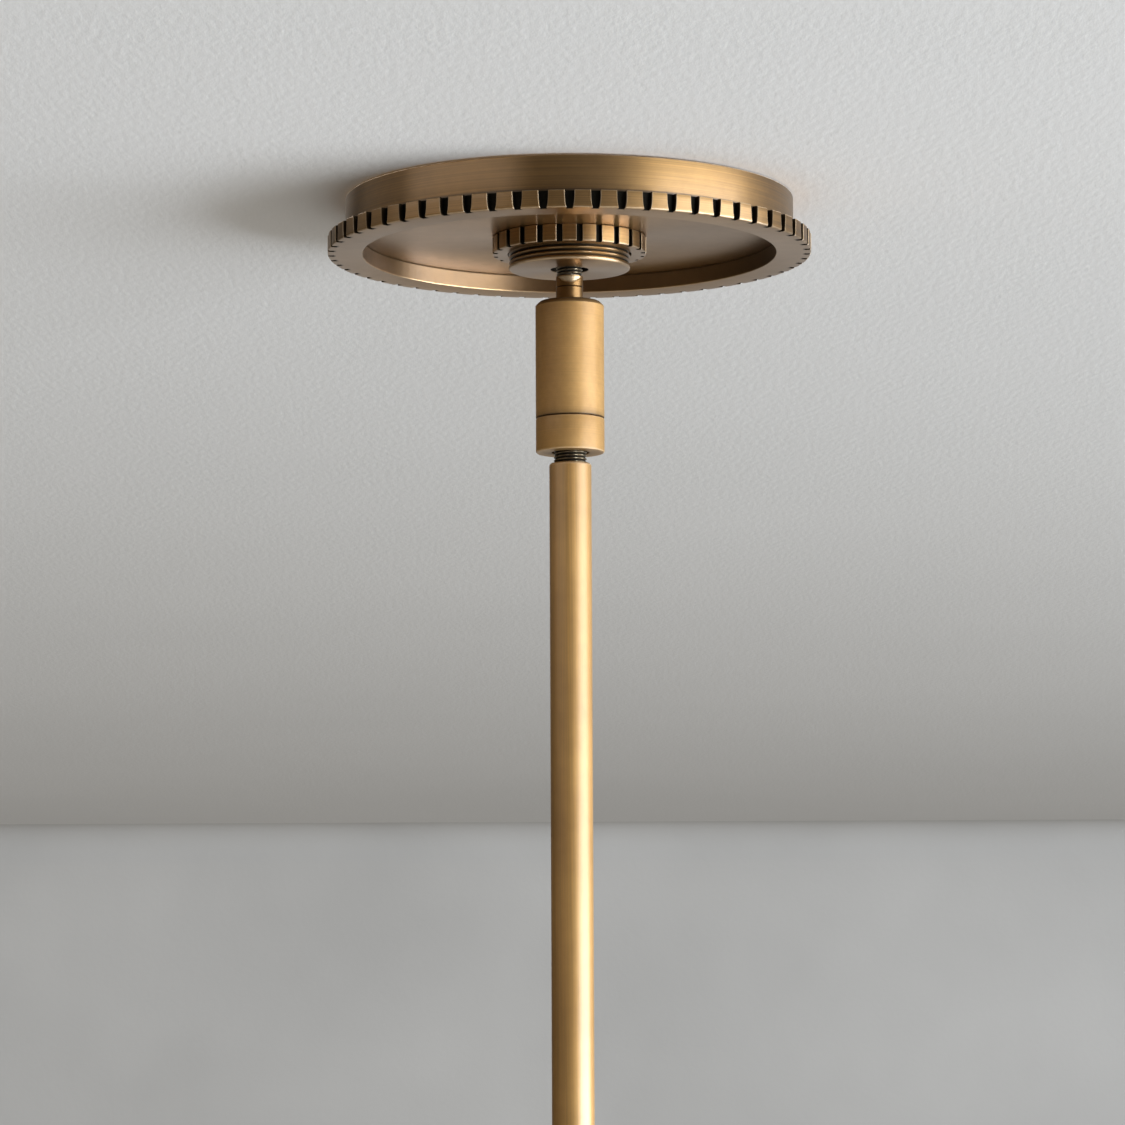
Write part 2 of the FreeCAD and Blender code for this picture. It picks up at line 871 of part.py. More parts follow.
nipple(
    "stem_nipple",
    at.nipple_grip + at.nipple_show + at.ring_height + at.ring_spigot / 2,
    stem_top_drop + at.nipple_grip,
)
tube("stem", nipple_hole, at.stem_radius, at.stem_length, at.stem_bevel, stem_drop)
nipple(
    "lower_nipple",
    cap_nut_drop + at.nipple_end - stem_drop + at.nipple_grip,
    cap_nut_drop + at.nipple_end,
)
tube("stem_coupler", nipple_hole, at.swivel_radius, at.coupler_height, at.ring_bevel, coupler_drop)

# Cap over the globe, with its washer and nut

cap_inside = at.cap_radius - at.cap_wall
turned(
    "globe_cap",
    [
        (cap_inside, 0),
        (at.cap_radius, 0),
        (at.cap_radius, at.cap_height - at.cap_bevel),
        (at.cap_radius - at.cap_bevel, at.cap_height),
        (nipple_hole, at.cap_height),
        (nipple_hole, at.cap_height - at.cap_wall),
        (cap_inside, at.cap_height - at.cap_wall),
    ],
    cap_drop,
)
washer("cap_washer", nipple_hole, at.cap_washer_radius, at.cap_washer_thickness, cap_washer_drop)
nut("cap_nut", at.cap_nut_across, at.cap_nut_height, nipple_hole, cap_nut_drop)

# Lampholder: brass cap, ceramic body, rolled screw shell and centre contact

shoulder_in = at.socket_shoulder + at.socket_cap_wall * 0.41
turned(
    "socket_cap",
    [
        (at.socket_cap_radius - at.socket_cap_wall, 0),
        (at.socket_cap_radius, 0),
        (at.socket_cap_radius, at.socket_cap_height - at.socket_shoulder),
        (at.socket_cap_radius - at.socket_shoulder, at.socket_cap_height),
        (nipple_hole, at.socket_cap_height),
        (nipple_hole, at.socket_cap_height - at.socket_cap_wall),
        (at.socket_cap_radius - shoulder_in, at.socket_cap_height - at.socket_cap_wall),
        (at.socket_cap_radius - at.socket_cap_wall, at.socket_cap_height - shoulder_in),
    ],
    socket_cap_drop,
)
socket_radius = at.socket_cap_radius - at.socket_cap_wall - at.thread_gap
socket_inside = at.shell_radius + at.thread_gap
socket_pocket = at.socket_height - at.socket_floor
turned(
    "socket_body",
    [
        (socket_inside, 0),
        (socket_radius - at.socket_cap_wall, 0),
        (socket_radius, at.socket_cap_wall),
        (socket_radius, at.socket_height),
        (at.contact_radius * 0.4, at.socket_height),
        (at.contact_radius * 0.4, socket_pocket),
        (socket_inside, socket_pocket),
    ],
    socket_drop,
)
shell_outside = waves(at.shell_radius, at.shell_wave, at.shell_height, 6)
shell_inside = [(radius - at.shell_wall, level) for radius, level in shell_outside]
turned("socket_shell", shell_outside + shell_inside[::-1], socket_floor_drop + at.shell_height)
turned(
    "centre_contact",
    [
        (0, 0),
        (at.contact_radius * 0.5, 0),
        (at.contact_radius, at.contact_height * 0.6),
        (at.contact_radius, at.contact_height),
        (0, at.contact_height),
    ],
    contact_drop,
)

# Lamp, hanging cap upwards

lamp_tip_drop = contact_drop + at.contact_gap + at.lamp_tip_height
lamp_insulator_drop = lamp_tip_drop + at.lamp_insulator_height
lamp_cap_drop = lamp_insulator_drop + at.lamp_cap_height
turned(
    "lamp_contact",
    [
        (0, 0),
        (at.lamp_tip_radius, 0),
        (at.lamp_tip_radius * 0.6, at.lamp_tip_height),
        (0, at.lamp_tip_height),
    ],
    lamp_tip_drop,
)
turned(
    "lamp_insulator",
    [
        (0, 0),
        (at.lamp_insulator_radius, 0),
        (at.lamp_tip_radius, at.lamp_insulator_height),
        (0, at.lamp_insulator_height),
    ],
    lamp_insulator_drop,
)
lamp_cap_inside = at.lamp_cap_radius - at.lamp_cap_wave - at.lamp_cap_wall
turned(
    "lamp_cap",
    [(lamp_cap_inside, 0)]
    + waves(at.lamp_cap_radius, at.lamp_cap_wave, at.lamp_cap_height, 6)
    + [
        (0, at.lamp_cap_height),
        (0, at.lamp_cap_height - at.lamp_cap_wall),
        (lamp_cap_inside, at.lamp_cap_height - at.lamp_cap_wall),
    ],
    lamp_cap_drop,
)
lamp_outline, lamp_rim = flask(
    at.lamp_radius, at.lamp_neck_radius, at.lamp_sweep, at.lamp_wall, at.lamp_neck_length
)
lamp_drop = lamp_cap_drop - at.lamp_neck_lap + lamp_rim
turned("lamp_glass", lamp_outline, lamp_drop)
mount_drop = lamp_drop - at.mount_start
crown = at.mount_crown_thickness
upper_crown = crown + at.filament_length
mount_length = mount_drop - lamp_insulator_drop - at.lamp_cap_wall
turned(
    "lamp_mount",
    [
        (0, 0),
        (at.mount_crown, 0),
        (at.mount_crown, crown),
        (at.mount_rod, crown),
        (at.mount_rod, upper_crown),
        (at.mount_crown, upper_crown),
        (at.mount_crown, upper_crown + crown),
        (at.mount_rod, upper_crown + crown),
        (at.mount_rod, mount_length),
        (0, mount_length),
    ],
    mount_drop,
)
filaments = new_body("lamp_filaments", mount_drop - crown)
filament = revolve(
    filaments,
    [
        (at.filament_circle, 0),
        (at.filament_circle + at.filament_radius, 0),
        (at.filament_circle + at.filament_radius, at.filament_length),
        (at.filament_circle, at.filament_length),
    ],
    at.filament_circle,
)
round_about(filaments, filament, at.filament_count, (filament.Profile[0], ["V_Axis"]))

# Globe, with its seal and the toothed collar that is bonded to its neck and screws up into the cap

fitter_spigot = cap_inside - at.free_gap
washer("globe_seal", at.seal_inner, fitter_spigot, at.seal_thickness, seal_drop)
fitter_bore = at.globe_neck + at.bond_thickness
fitter_top = fitter_drop - seal_drop
fitter = turned(
    "globe_collar",
    [
        (fitter_bore, 0),
        (at.fitter_radius - at.rim_bevel, 0),
        (at.fitter_radius, at.rim_bevel),
        (at.fitter_radius, at.fitter_height - at.rim_bevel),
        (at.fitter_radius - at.rim_bevel, at.fitter_height),
        (fitter_spigot, at.fitter_height),
        (fitter_spigot, fitter_top),
        (fitter_bore, fitter_top),
    ],
    fitter_drop,
)
cut_teeth(fitter, at.fitter_teeth, at.fitter_radius, at.rim_slot_width, at.rim_slot_depth)
fitter_start = at.fitter_height + at.fitter_pitch * 0.8
fitter_turns = whole((fitter_top - at.fitter_height) / at.fitter_pitch)
cut_threads(fitter, fitter_spigot, at.fitter_thread_depth, at.fitter_pitch, fitter_turns, fitter_start)
turned(
    "bond_ring",
    [
        (at.globe_neck + at.thread_gap, 0),
        (fitter_bore - at.thread_gap, 0),
        (fitter_bore - at.thread_gap, fitter_top),
        (at.globe_neck + at.thread_gap, fitter_top),
    ],
    fitter_drop,
)
globe_outline, globe_rim = flask(
    at.globe_radius, at.globe_neck, at.globe_sweep, at.globe_wall, fitter_top + at.globe_shoulder
)
turned("globe", globe_outline, seal_drop + globe_rim)

# Every object has to be sound before any piece is written

doc.recompute()
for thing in doc.Objects:
    if "Invalid" in thing.State or "Error" in thing.State:
        raise ValueError("%s: %s" % (thing.Label, thing.State))
pieces = [thing for thing in doc.Objects if thing.TypeId == "PartDesign::Body"]
for piece in pieces:
    if piece.Shape.isNull() or not piece.Shape.isValid():
        raise ValueError(piece.Label + ": the shape is not sound")
for piece in pieces:
    piece.Shape.exportStep("parts/%s.step" % piece.Label)
    box = piece.Shape.BoundBox
    count = len(piece.Shape.Solids)
    print("%-16s %d solid  z %8.2f to %8.2f  width %7.2f" % (piece.Label, count, box.ZMin, box.ZMax, box.XLength))
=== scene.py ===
import json
import math
from typing import NamedTuple

import bmesh
import bpy
from mathutils import Matrix, Vector


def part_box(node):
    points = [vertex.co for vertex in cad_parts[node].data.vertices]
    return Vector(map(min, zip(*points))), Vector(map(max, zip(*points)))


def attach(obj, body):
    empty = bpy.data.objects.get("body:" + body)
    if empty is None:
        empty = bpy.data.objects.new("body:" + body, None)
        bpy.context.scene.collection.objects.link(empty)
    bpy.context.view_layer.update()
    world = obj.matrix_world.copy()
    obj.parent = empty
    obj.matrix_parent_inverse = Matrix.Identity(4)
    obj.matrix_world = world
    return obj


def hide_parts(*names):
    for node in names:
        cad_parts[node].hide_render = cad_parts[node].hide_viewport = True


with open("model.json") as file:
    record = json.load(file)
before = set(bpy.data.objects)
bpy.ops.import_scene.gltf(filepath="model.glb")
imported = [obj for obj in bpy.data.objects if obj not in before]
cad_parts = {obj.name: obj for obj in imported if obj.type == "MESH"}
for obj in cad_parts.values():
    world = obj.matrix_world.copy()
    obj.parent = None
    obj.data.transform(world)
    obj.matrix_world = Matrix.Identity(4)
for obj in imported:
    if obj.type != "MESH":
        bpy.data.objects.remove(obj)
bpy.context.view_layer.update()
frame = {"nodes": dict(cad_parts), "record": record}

# Outlines are in millimetres below the ceiling, and meshes and the room are in metres.
MM = 0.001
FULL_TURN = 2 * math.pi

# Angles in degrees, on an outline and round the light's axis
OUTWARDS, UP, INWARDS, DOWN = 0.0, 90.0, 180.0, -90.0
TOWARDS_CAMERA = -90.0


def clamp(share):
    """Holds a share between 0 and 1."""
    return min(1.0, max(0.0, share))


# Sizes from the frame, to 0.01 mm

def girth(node):
    """A CAD node's largest radius about the light's axis."""
    solid = frame["nodes"][node]
    spots = [solid.matrix_world @ vertex.co for vertex in solid.data.vertices]
    return round(max(math.hypot(spot.x, spot.y) for spot in spots) / MM, 2)


def span(node):
    """A CAD node's lowest and highest level."""
    low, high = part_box(node)
    return round(low[2] / MM, 2), round(high[2] / MM, 2)


# Outlines

class Corner(NamedTuple):
    """A corner of a closed outline.

    Rounding is how far its edge is softened. Cut is true where teeth or threads are cut into the outside.
    Its painted shade is 1 where a crevice is painted black.
    """
    radius: float
    height: float
    rounding: float = 0.0
    cut: bool = False
    shaded: float = 0.0


class Point(NamedTuple):
    """A point of a softened outline. Its bright edge mark is 1 on a rounded edge: partly rubbed wear, partly
    painted highlight.
    """
    radius: float
    height: float
    wear_and_highlight: float
    cut: bool
    shaded: float


def soften(corners, steps):
    """Points of a closed outline, with its corners rounded. An edge in painted shade gets no bright edge
    mark.
    """
    points = []
    for index, corner in enumerate(corners):
        if corner.rounding == 0:
            points.append(Point(corner.radius, corner.height, 0.0, corner.cut, corner.shaded))
            continue
        here = Vector(corner[:2])
        before = Vector(corners[index - 1][:2]) - here
        after = Vector(corners[(index + 1) % len(corners)][:2]) - here
        start = here + before.normalized() * corner.rounding
        stop = here + after.normalized() * corner.rounding
        for step in range(steps + 1):
            share = step / steps
            spot = start * (1 - share) ** 2 + here * 2 * share * (1 - share) + stop * share ** 2
            wear_and_highlight = 1.0 if 0 < step < steps and corner.shaded == 0.0 else 0.0
            points.append(Point(spot.x, spot.y, wear_and_highlight, corner.cut, corner.shaded))
    return points


def cut_rows(radius, low, high, count):
    """Evenly spaced rows up a length that is cut, from its low end to its high end."""
    return [Corner(radius, low + (high - low) * row / count, cut=True) for row in range(count + 1)]


def thread_rows(radius, low, high, pitch):
    """Closely spaced rows up a threaded length."""
    rows_per_turn = 12
    return cut_rows(radius, low, high, math.ceil((high - low) / pitch * rows_per_turn))


def tooth_side(radius, low, high):
    """Corners up the outside of a toothed ring, with rows near its foot where its slots draw in."""
    foot_rows = (0.8, 1.2, 1.7, 2.4, 3.4)
    return [
        Corner(radius, low, rounding=0.5, cut=True),
        *(Corner(radius, low + rise, cut=True) for rise in foot_rows),
        Corner(radius, high, rounding=0.35, cut=True),
    ]


def arc(centre_radius, centre_height, size, start, stop, steps):
    """Corners on an arc, with its angles in degrees from outwards to up."""
    corners = []
    for step in range(steps + 1):
        angle = math.radians(start + (stop - start) * step / steps)
        radius = max(centre_radius + size * math.cos(angle), 0.0)
        corners.append(Corner(radius, centre_height + size * math.sin(angle)))
    return corners


def blown(lowest, top, radius, neck, sweep, wall, steps):
    """Outline of a blown bulb that hangs by its neck, with an even wall. It sweeps out under the neck."""
    neck_steps = 12
    middle = lowest + radius
    reach = neck + sweep
    waist = middle + math.sqrt((radius + sweep) ** 2 - reach ** 2)
    lift = math.degrees(math.atan2(waist - middle, reach))
    outside = arc(0.0, middle, radius, DOWN, lift, steps)
    outside += arc(reach, waist, sweep, INWARDS + lift, INWARDS, neck_steps)[1:]
    melt = wall * 0.3
    lip = [Corner(neck, top - melt), Corner(neck - melt, top)]
    lip += [Corner(neck - wall + melt, top), Corner(neck - wall, top - melt)]
    inside = arc(reach, waist, sweep + wall, INWARDS, INWARDS + lift, neck_steps)
    inside += arc(0.0, middle, radius - wall, lift, DOWN, steps)[1:]
    return outside + lip + inside


# Shapes

class Shape:
    """Vertices and faces of one piece, with its bright edge mark (wear and painted highlight) and its
    painted shade at each vertex.
    """

    def __init__(self):
        self.spots = []
        self.faces = []
        self.wear_and_highlight = []
        self.painted_shade = []

    def add(self, radius, angle, height, wear_and_highlight, painted_shade):
        """Adds a vertex and returns its number."""
        self.spots.append((radius * math.cos(angle) * MM, radius * math.sin(angle) * MM, height * MM))
        self.wear_and_highlight.append(wear_and_highlight)
        self.painted_shade.append(painted_shade)
        return len(self.spots) - 1

    def bridge(self, one, other):
        """Faces between two neighbouring rings of vertices. A ring of one vertex is on the axis."""
        for index in range(max(len(one), len(other))):
            after = index + 1
            here = one[index % len(one)]
            there = other[index % len(other)]
            corners = [here, one[after % len(one)], other[after % len(other)], there]
            face = list(dict.fromkeys(corners))
            if len(face) > 2:
                self.faces.append(face)

    def skin(self, rings):
        """Faces between all rings, and from the last to the first."""
        for one, other in zip(rings, rings[1:] + rings[:1]):
            self.bridge(one, other)


SOFT_STEPS, ROUND_STEPS = 3, 5
ON_AXIS = 1e-6
# How quickly a bright cut's depth becomes a painted highlight.
HIGHLIGHT_GAIN = 6


def turn(corners, around, dip=None, deepest=1.0, bright_cuts=False, steps=SOFT_STEPS):
    """Turns a closed outline about the light's axis. Cuts get painted shade, black at their deepest; with
    bright_cuts they get a painted highlight of rubbed colour instead.
    """
    shape = Shape()
    rings = []
    for point in soften(corners, steps):
        ring = []
        for step in range(around if point.radius > ON_AXIS else 1):
            angle = FULL_TURN * step / around
            depth = dip(angle, point.height) if point.cut and dip else 0.0
            share = depth / deepest
            # The deeper a cut, the more painted shade; bright cuts take a painted highlight instead.
            wear_and_highlight, painted_shade = point.wear_and_highlight, max(point.shaded, share)
            if bright_cuts:
                wear_and_highlight, painted_shade = max(point.wear_and_highlight, clamp(share * HIGHLIGHT_GAIN)), point.shaded
            ring.append(shape.add(point.radius - depth, angle, point.height, wear_and_highlight, painted_shade))
        rings.append(ring)
    shape.skin(rings)
    return shape


class Station(NamedTuple):
    """A place round a toothed ring: aside of an angle, sunk below the tooth, with a bright edge mark (wear
    and painted highlight) or painted shade.
    """
    angle: float
    aside: float = 0.0
    sink: float = 0.0
    rubbed_and_highlight: float = 0.0
    dark: float = 0.0


TOOTH_EDGE, TOOTH_WEAR_AND_HIGHLIGHT = 0.18, 0.16
# Slot floors are painted black and slot sides nearly so: painted shade.
SLOT_SIDE_DARK = 0.85


def tooth_stations(teeth, outer, slot_width, slot_depth, first_slot):
    """Places round a toothed ring: each slot's floor, its edge, the tooth after it and the next edge."""
    half = slot_width / 2
    edge = half + TOOTH_EDGE
    mark_end = edge + TOOTH_WEAR_AND_HIGHLIGHT
    pitch = FULL_TURN / teeth
    tooth_half = pitch / 2 - math.asin(mark_end / outer)
    stations = []
    for tooth in range(teeth):
        slot = first_slot + tooth * pitch
        next_slot = slot + pitch
        # Each slot is painted black as shade; the tooth edges beside it get the bright edge mark.
        stations += [Station(slot, aside, slot_depth, dark=1.0) for aside in (-half, 0.0, half)]
        stations.append(Station(slot, half, TOOTH_EDGE, dark=SLOT_SIDE_DARK))
        stations.append(Station(slot, edge, rubbed_and_highlight=1.0))
        stations.append(Station(slot, mark_end))
        stations += [Station(slot + pitch / 2 + tooth_half * share) for share in (-0.5, 0.0, 0.5)]
        stations.append(Station(next_slot, -mark_end))
        stations.append(Station(next_slot, -edge, rubbed_and_highlight=1.0))
        stations.append(Station(next_slot, -half, TOOTH_EDGE, dark=SLOT_SIDE_DARK))
    return stations


def mill(corners, teeth, outer, slot_width, slot_depth, first_slot=TOWARDS_CAMERA, draw_in=0.0, spigot=()):
    """Turns a closed outline and mills slots into its outside, with softened tooth edges.

    The first slot is at an angle in degrees. Slot width is at a slot's top, and draw in is how far each
    of its sides comes in towards the bottom, mostly at its foot. A spigot is a run of crisp corners that
    ends the outline.
    """
    even_share, foot_power = 0.25, 4
    stations = tooth_stations(teeth, outer, slot_width, slot_depth, math.radians(first_slot))
    points = soften(corners, SOFT_STEPS) + soften(spigot, SOFT_STEPS)
    cut_heights = [point.height for point in points if point.cut]
    low, high = min(cut_heights), max(cut_heights)
    shape = Shape()
    rings = []
    for point in points:
        ring = []
        down = (high - point.height) / (high - low)
        inset = draw_in * (even_share * down + (1 - even_share) * down ** foot_power)
        for station in stations:
            reach, lean, spread = point.radius, outer, station.aside
            wear_and_highlight, painted_shade = point.wear_and_highlight, point.shaded
            if point.cut:
                floor = min(point.radius, outer - slot_depth)
                reach = floor if station.sink == slot_depth else point.radius - station.sink
                lean = reach
                spread = station.aside - math.copysign(inset, station.aside) if station.aside else 0.0
                # Slots take painted shade, tooth edges the bright edge mark.
                wear_and_highlight = max(point.wear_and_highlight, station.rubbed_and_highlight) * (1.0 - station.dark)
                painted_shade = max(point.shaded, station.dark)
            angle = station.angle + math.asin(spread / lean)
            ring.append(shape.add(reach, angle, point.height, wear_and_highlight, painted_shade))
        rings.append(ring)
    shape.skin(rings)
    return shape


def helix_dip(pitch, depth, low, high):
    """How deep a right-hand vee thread cuts at an angle and height. It runs out at both ends."""
    crest_flat, flank_width, run_out_turns = 0.14, 0.72, 0.5

    def dip(angle, height):
        phase = height / pitch - angle / FULL_TURN
        flank = abs((phase % 1.0) * 2 - 1)
        vee = clamp((flank - crest_flat) / flank_width)
        run_out = clamp(min(height - low, high - height) / (pitch * run_out_turns))
        return depth * vee * run_out

    return dip


# Node helpers: what goes into a node is a socket or a plain value

def put(tree, value, socket):
    """Links a socket to another socket, or sets it to a number, a vector or a colour."""
    if isinstance(value, bpy.types.NodeSocket):
        tree.links.new(value, socket)
    elif socket.type == "RGBA":
        socket.default_value = (*value, 1.0)
    else:
        socket.default_value = value


def make_node(tree, kind, inputs, **settings):
    """A shader node with its settings, and with its inputs by title or number."""
    node = tree.nodes.new("ShaderNode" + kind)
    for title, setting in settings.items():
        setattr(node, title, setting)
    for title, value in inputs.items():
        put(tree, value, node.inputs[title])
    return node


def sum_node(tree, operation, first, second=0.0, clamped=False):
    """A maths node with two sides, or with one."""
    sides = {0: first, 1: second}
    return make_node(tree, "Math", sides, operation=operation, use_clamp=clamped).outputs[0]


def vector_node(tree, operation, first, second):
    """A vector maths node. SCALE takes a number as its second side, and DOT_PRODUCT gives a number."""
    other = "Scale" if operation == "SCALE" else 1
    result = "Value" if operation == "DOT_PRODUCT" else "Vector"
    return make_node(tree, "VectorMath", {0: first, other: second}, operation=operation).outputs[result]


def split_axes(tree, vector):
    """The X, Y and Z of a vector."""
    return make_node(tree, "SeparateXYZ", {0: vector}).outputs


def join_axes(tree, **sides):
    """A vector of its X, Y and Z."""
    return make_node(tree, "CombineXYZ", sides).outputs[0]


def blend_colours(tree, share, first, second):
    """Goes from the first colour over to the second."""
    return make_node(tree, "Mix", {0: share, 6: first, 7: second}, data_type="RGBA").outputs[2]


def choose_shader(tree, share, first, second):
    """Goes from the first shader over to the second."""
    return make_node(tree, "MixShader", {0: share, 1: first, 2: second}).outputs[0]


def stretch_range(tree, value, low, high, to_low=0.0, to_high=1.0):
    """Stretches a range of a value onto another range, and holds it there outside."""
    limits = {"Value": value, "From Min": low, "From Max": high, "To Min": to_low, "To Max": to_high}
    return make_node(tree, "MapRange", limits).outputs["Result"]


def noise_node(tree, vector, detail, roughness, scale=1.0):
    """Cloudy noise. Most of its values lie between NOISE_LOW and NOISE_HIGH."""
    inputs = {"Vector": vector, "Scale": scale, "Detail": detail, "Roughness": roughness}
    return make_node(tree, "TexNoise", inputs).outputs["Fac"]


def looked_at(tree):
    """1 for what the camera sees, also through glass, and 0 for what only lights or is mirrored."""
    rays = tree.nodes.new("ShaderNodeLightPath")
    return sum_node(tree, "MAXIMUM", rays.outputs["Is Camera Ray"], rays.outputs["Is Transmission Ray"])


# Effects that finishes share

NOISE_LOW, NOISE_HIGH = 0.3, 0.7
LINE_INPUTS = {"Fineness": "Float", "Sweep": "Float"}


def new_group(name, inputs, outputs):
    """An empty shader node group with its place on the piece, its other named inputs and its outputs."""
    group = bpy.data.node_groups.new(name, "ShaderNodeTree")
    group.interface.new_socket("Place", in_out="INPUT", socket_type="NodeSocketVector")
    for title, kind in inputs.items():
        group.interface.new_socket(title, in_out="INPUT", socket_type="NodeSocket" + kind)
    for title, kind in outputs.items():
        group.interface.new_socket(title, in_out="OUTPUT", socket_type="NodeSocket" + kind)
    enter = group.nodes.new("NodeGroupInput").outputs
    leave = group.nodes.new("NodeGroupOutput").inputs
    return group, enter, leave


def lathe_lines_group():
    """Fine lines round the axis, as a lathe or a belt leaves them on faces and outsides alike."""
    group, enter, leave = new_group("lathe_lines", LINE_INPUTS, {"Lines": "Float"})
    axes = split_axes(group, enter["Place"])
    across = sum_node(group, "MULTIPLY", axes["X"], axes["X"])
    along = sum_node(group, "MULTIPLY", axes["Y"], axes["Y"])
    radius = sum_node(group, "SQRT", sum_node(group, "ADD", across, along))
    fine_radius = sum_node(group, "MULTIPLY", radius, enter["Fineness"])
    fine_height = sum_node(group, "MULTIPLY", axes["Z"], enter["Fineness"])
    slow_x = sum_node(group, "MULTIPLY", axes["X"], enter["Sweep"])
    slow_y = sum_node(group, "MULTIPLY", axes["Y"], enter["Sweep"])
    drawn_out = join_axes(group, X=sum_node(group, "ADD", fine_radius, slow_x), Y=slow_y, Z=fine_height)
    put(group, noise_node(group, drawn_out, detail=3.0, roughness=0.6), leave["Lines"])
    return group


def drawn_lines_group():
    """Fine lines along the axis, as drawn tube and long strokes of a pad leave them."""
    group, enter, leave = new_group("drawn_lines", LINE_INPUTS, {"Lines": "Float"})
    axes = split_axes(group, enter["Place"])
    fine_x = sum_node(group, "MULTIPLY", axes["X"], enter["Fineness"])
    fine_y = sum_node(group, "MULTIPLY", axes["Y"], enter["Fineness"])
    slow_z = sum_node(group, "MULTIPLY", axes["Z"], enter["Sweep"])
    drawn_out = join_axes(group, X=fine_x, Y=fine_y, Z=slow_z)
    put(group, noise_node(group, drawn_out, detail=2.0, roughness=0.55), leave["Lines"])
    return group


def patina_group():
    """Uneven darkening of brass: broad cloudy patches with finer mottling in them."""
    inputs = {"Clean": "Color", "Aged": "Color", "Patch size": "Float"}
    group, enter, leave = new_group("patina", inputs, {"Colour": "Color", "Age": "Float"})
    mottle_finer, mottle_share = 9.0, 0.35
    fineness = sum_node(group, "DIVIDE", 1.0, enter["Patch size"])
    spread = vector_node(group, "SCALE", enter["Place"], fineness)
    broad = noise_node(group, spread, detail=3.0, roughness=0.55)
    mottle = noise_node(group, spread, detail=2.0, roughness=0.6, scale=mottle_finer)
    both = sum_node(group, "ADD", broad, sum_node(group, "MULTIPLY", mottle, mottle_share))
    age = stretch_range(group, both, low=0.45, high=0.9)
    put(group, blend_colours(group, age, enter["Clean"], enter["Aged"]), leave["Colour"])
    put(group, age, leave["Age"])
    return group


def edge_wear_and_highlight_group():
    """Breaks the bright edge mark, partly wear and partly painted highlight, into uneven stretches."""
    inputs = {"Edge": "Float", "Amount": "Float"}
    group, enter, leave = new_group("edge_wear_and_highlight", inputs, {"Wear and highlight": "Float"})
    breaks_in_a_metre, least = 320.0, 0.35
    breaks = noise_node(group, enter["Place"], detail=3.0, roughness=0.6, scale=breaks_in_a_metre)
    uneven = stretch_range(group, breaks, low=0.25, high=0.6, to_low=least)
    rubbed_and_highlight = sum_node(group, "MULTIPLY", enter["Edge"], uneven)
    put(group, sum_node(group, "MULTIPLY", rubbed_and_highlight, enter["Amount"], clamped=True), leave["Wear and highlight"])
    return group


def specks_group():
    """Small cloudy unevenness for plain surfaces, as a mask."""
    group, enter, leave = new_group("specks", {"Speck size": "Float"}, {"Specks": "Float"})
    fineness = sum_node(group, "DIVIDE", 1.0, enter["Speck size"])
    spread = vector_node(group, "SCALE", enter["Place"], fineness)
    put(group, noise_node(group, spread, detail=3.0, roughness=0.55), leave["Specks"])
    return group


LATHE_LINES = lathe_lines_group()
DRAWN_LINES = drawn_lines_group()
PATINA = patina_group()
EDGE_WEAR_AND_HIGHLIGHT = edge_wear_and_highlight_group()
SPECKS = specks_group()


# Finishes

class Finish:
    """A material with its Principled shader, the place on the piece, and a way to put effects in it."""

    def __init__(self, name):
        self.material = bpy.data.materials.new(name)
        self.material.use_nodes = True
        self.tree = self.material.node_tree
        self.shader = self.tree.nodes["Principled BSDF"]
        self.place = self.tree.nodes.new("ShaderNodeTexCoord").outputs["Object"]

    def feed(self, **values):
        """Sets or links inputs of the shader."""
        for title, value in values.items():
            put(self.tree, value, self.shader.inputs[title.replace("_", " ")])

    def effect(self, group, **values):
        """Puts a shared effect into the material with its own values, and returns its outputs."""
        inputs = {title.replace("_", " "): value for title, value in values.items()}
        return make_node(self.tree, "Group", {"Place": self.place, **inputs}, node_tree=group).outputs

    def specks(self, size):
        """The mask of specks of a size."""
        return self.effect(SPECKS, Speck_size=size)["Specks"]

    def sheltered(self):
        """Two masks: faces square to the axis, and bores. Both are smoother than the brushed outside."""
        tree = self.tree
        normal = tree.nodes.new("ShaderNodeTexCoord").outputs["Normal"]
        steepness = sum_node(tree, "ABSOLUTE", split_axes(tree, normal)["Z"])
        flat = stretch_range(tree, steepness, low=0.4, high=0.9)
        level_place = vector_node(tree, "MULTIPLY", self.place, (1.0, 1.0, 0.0))
        outwards = vector_node(tree, "DOT_PRODUCT", normal, level_place)
        inwards = stretch_range(tree, outwards, low=0.0, high=-MM)
        return flat, sum_node(tree, "MULTIPLY", inwards, sum_node(tree, "SUBTRACT", 1.0, flat))

    def marked(self, title):
        """A value that the mesh carries at each vertex."""
        return make_node(self.tree, "Attribute", {}, attribute_name=title).outputs["Fac"]

    def bump(self, height, strength, distance):
        """Fine relief, with its distance in millimetres."""
        relief = {"Strength": strength, "Distance": distance * MM, "Height": height}
        self.feed(Normal=make_node(self.tree, "Bump", relief).outputs["Normal"])


ROUND_LINES = {"lines": LATHE_LINES, "fineness": 2600.0, "sweep": 14.0, "brush_turn": 0.25}
LONG_LINES = {"lines": DRAWN_LINES, "fineness": 2400.0, "sweep": 26.0, "brush_turn": 0.0}
# Black colours of the painted shade in slots, seams, holes and thread roots.
SLOT_SHADE_BLACK, ROOT_SHADE_BLACK = (0.024, 0.021, 0.016), (0.012, 0.011, 0.01)
LACQUER_IOR = 1.9
EDGE_WEAR_AND_HIGHLIGHT_AMOUNT = 0.5
# Roughness rises on the brushed strokes, the patina, the bright edges and the painted shade.
STROKE_ROUGH, AGE_ROUGH, EDGE_ROUGH, SHADE_ROUGH = 0.05, 0.04, 0.2, 0.3


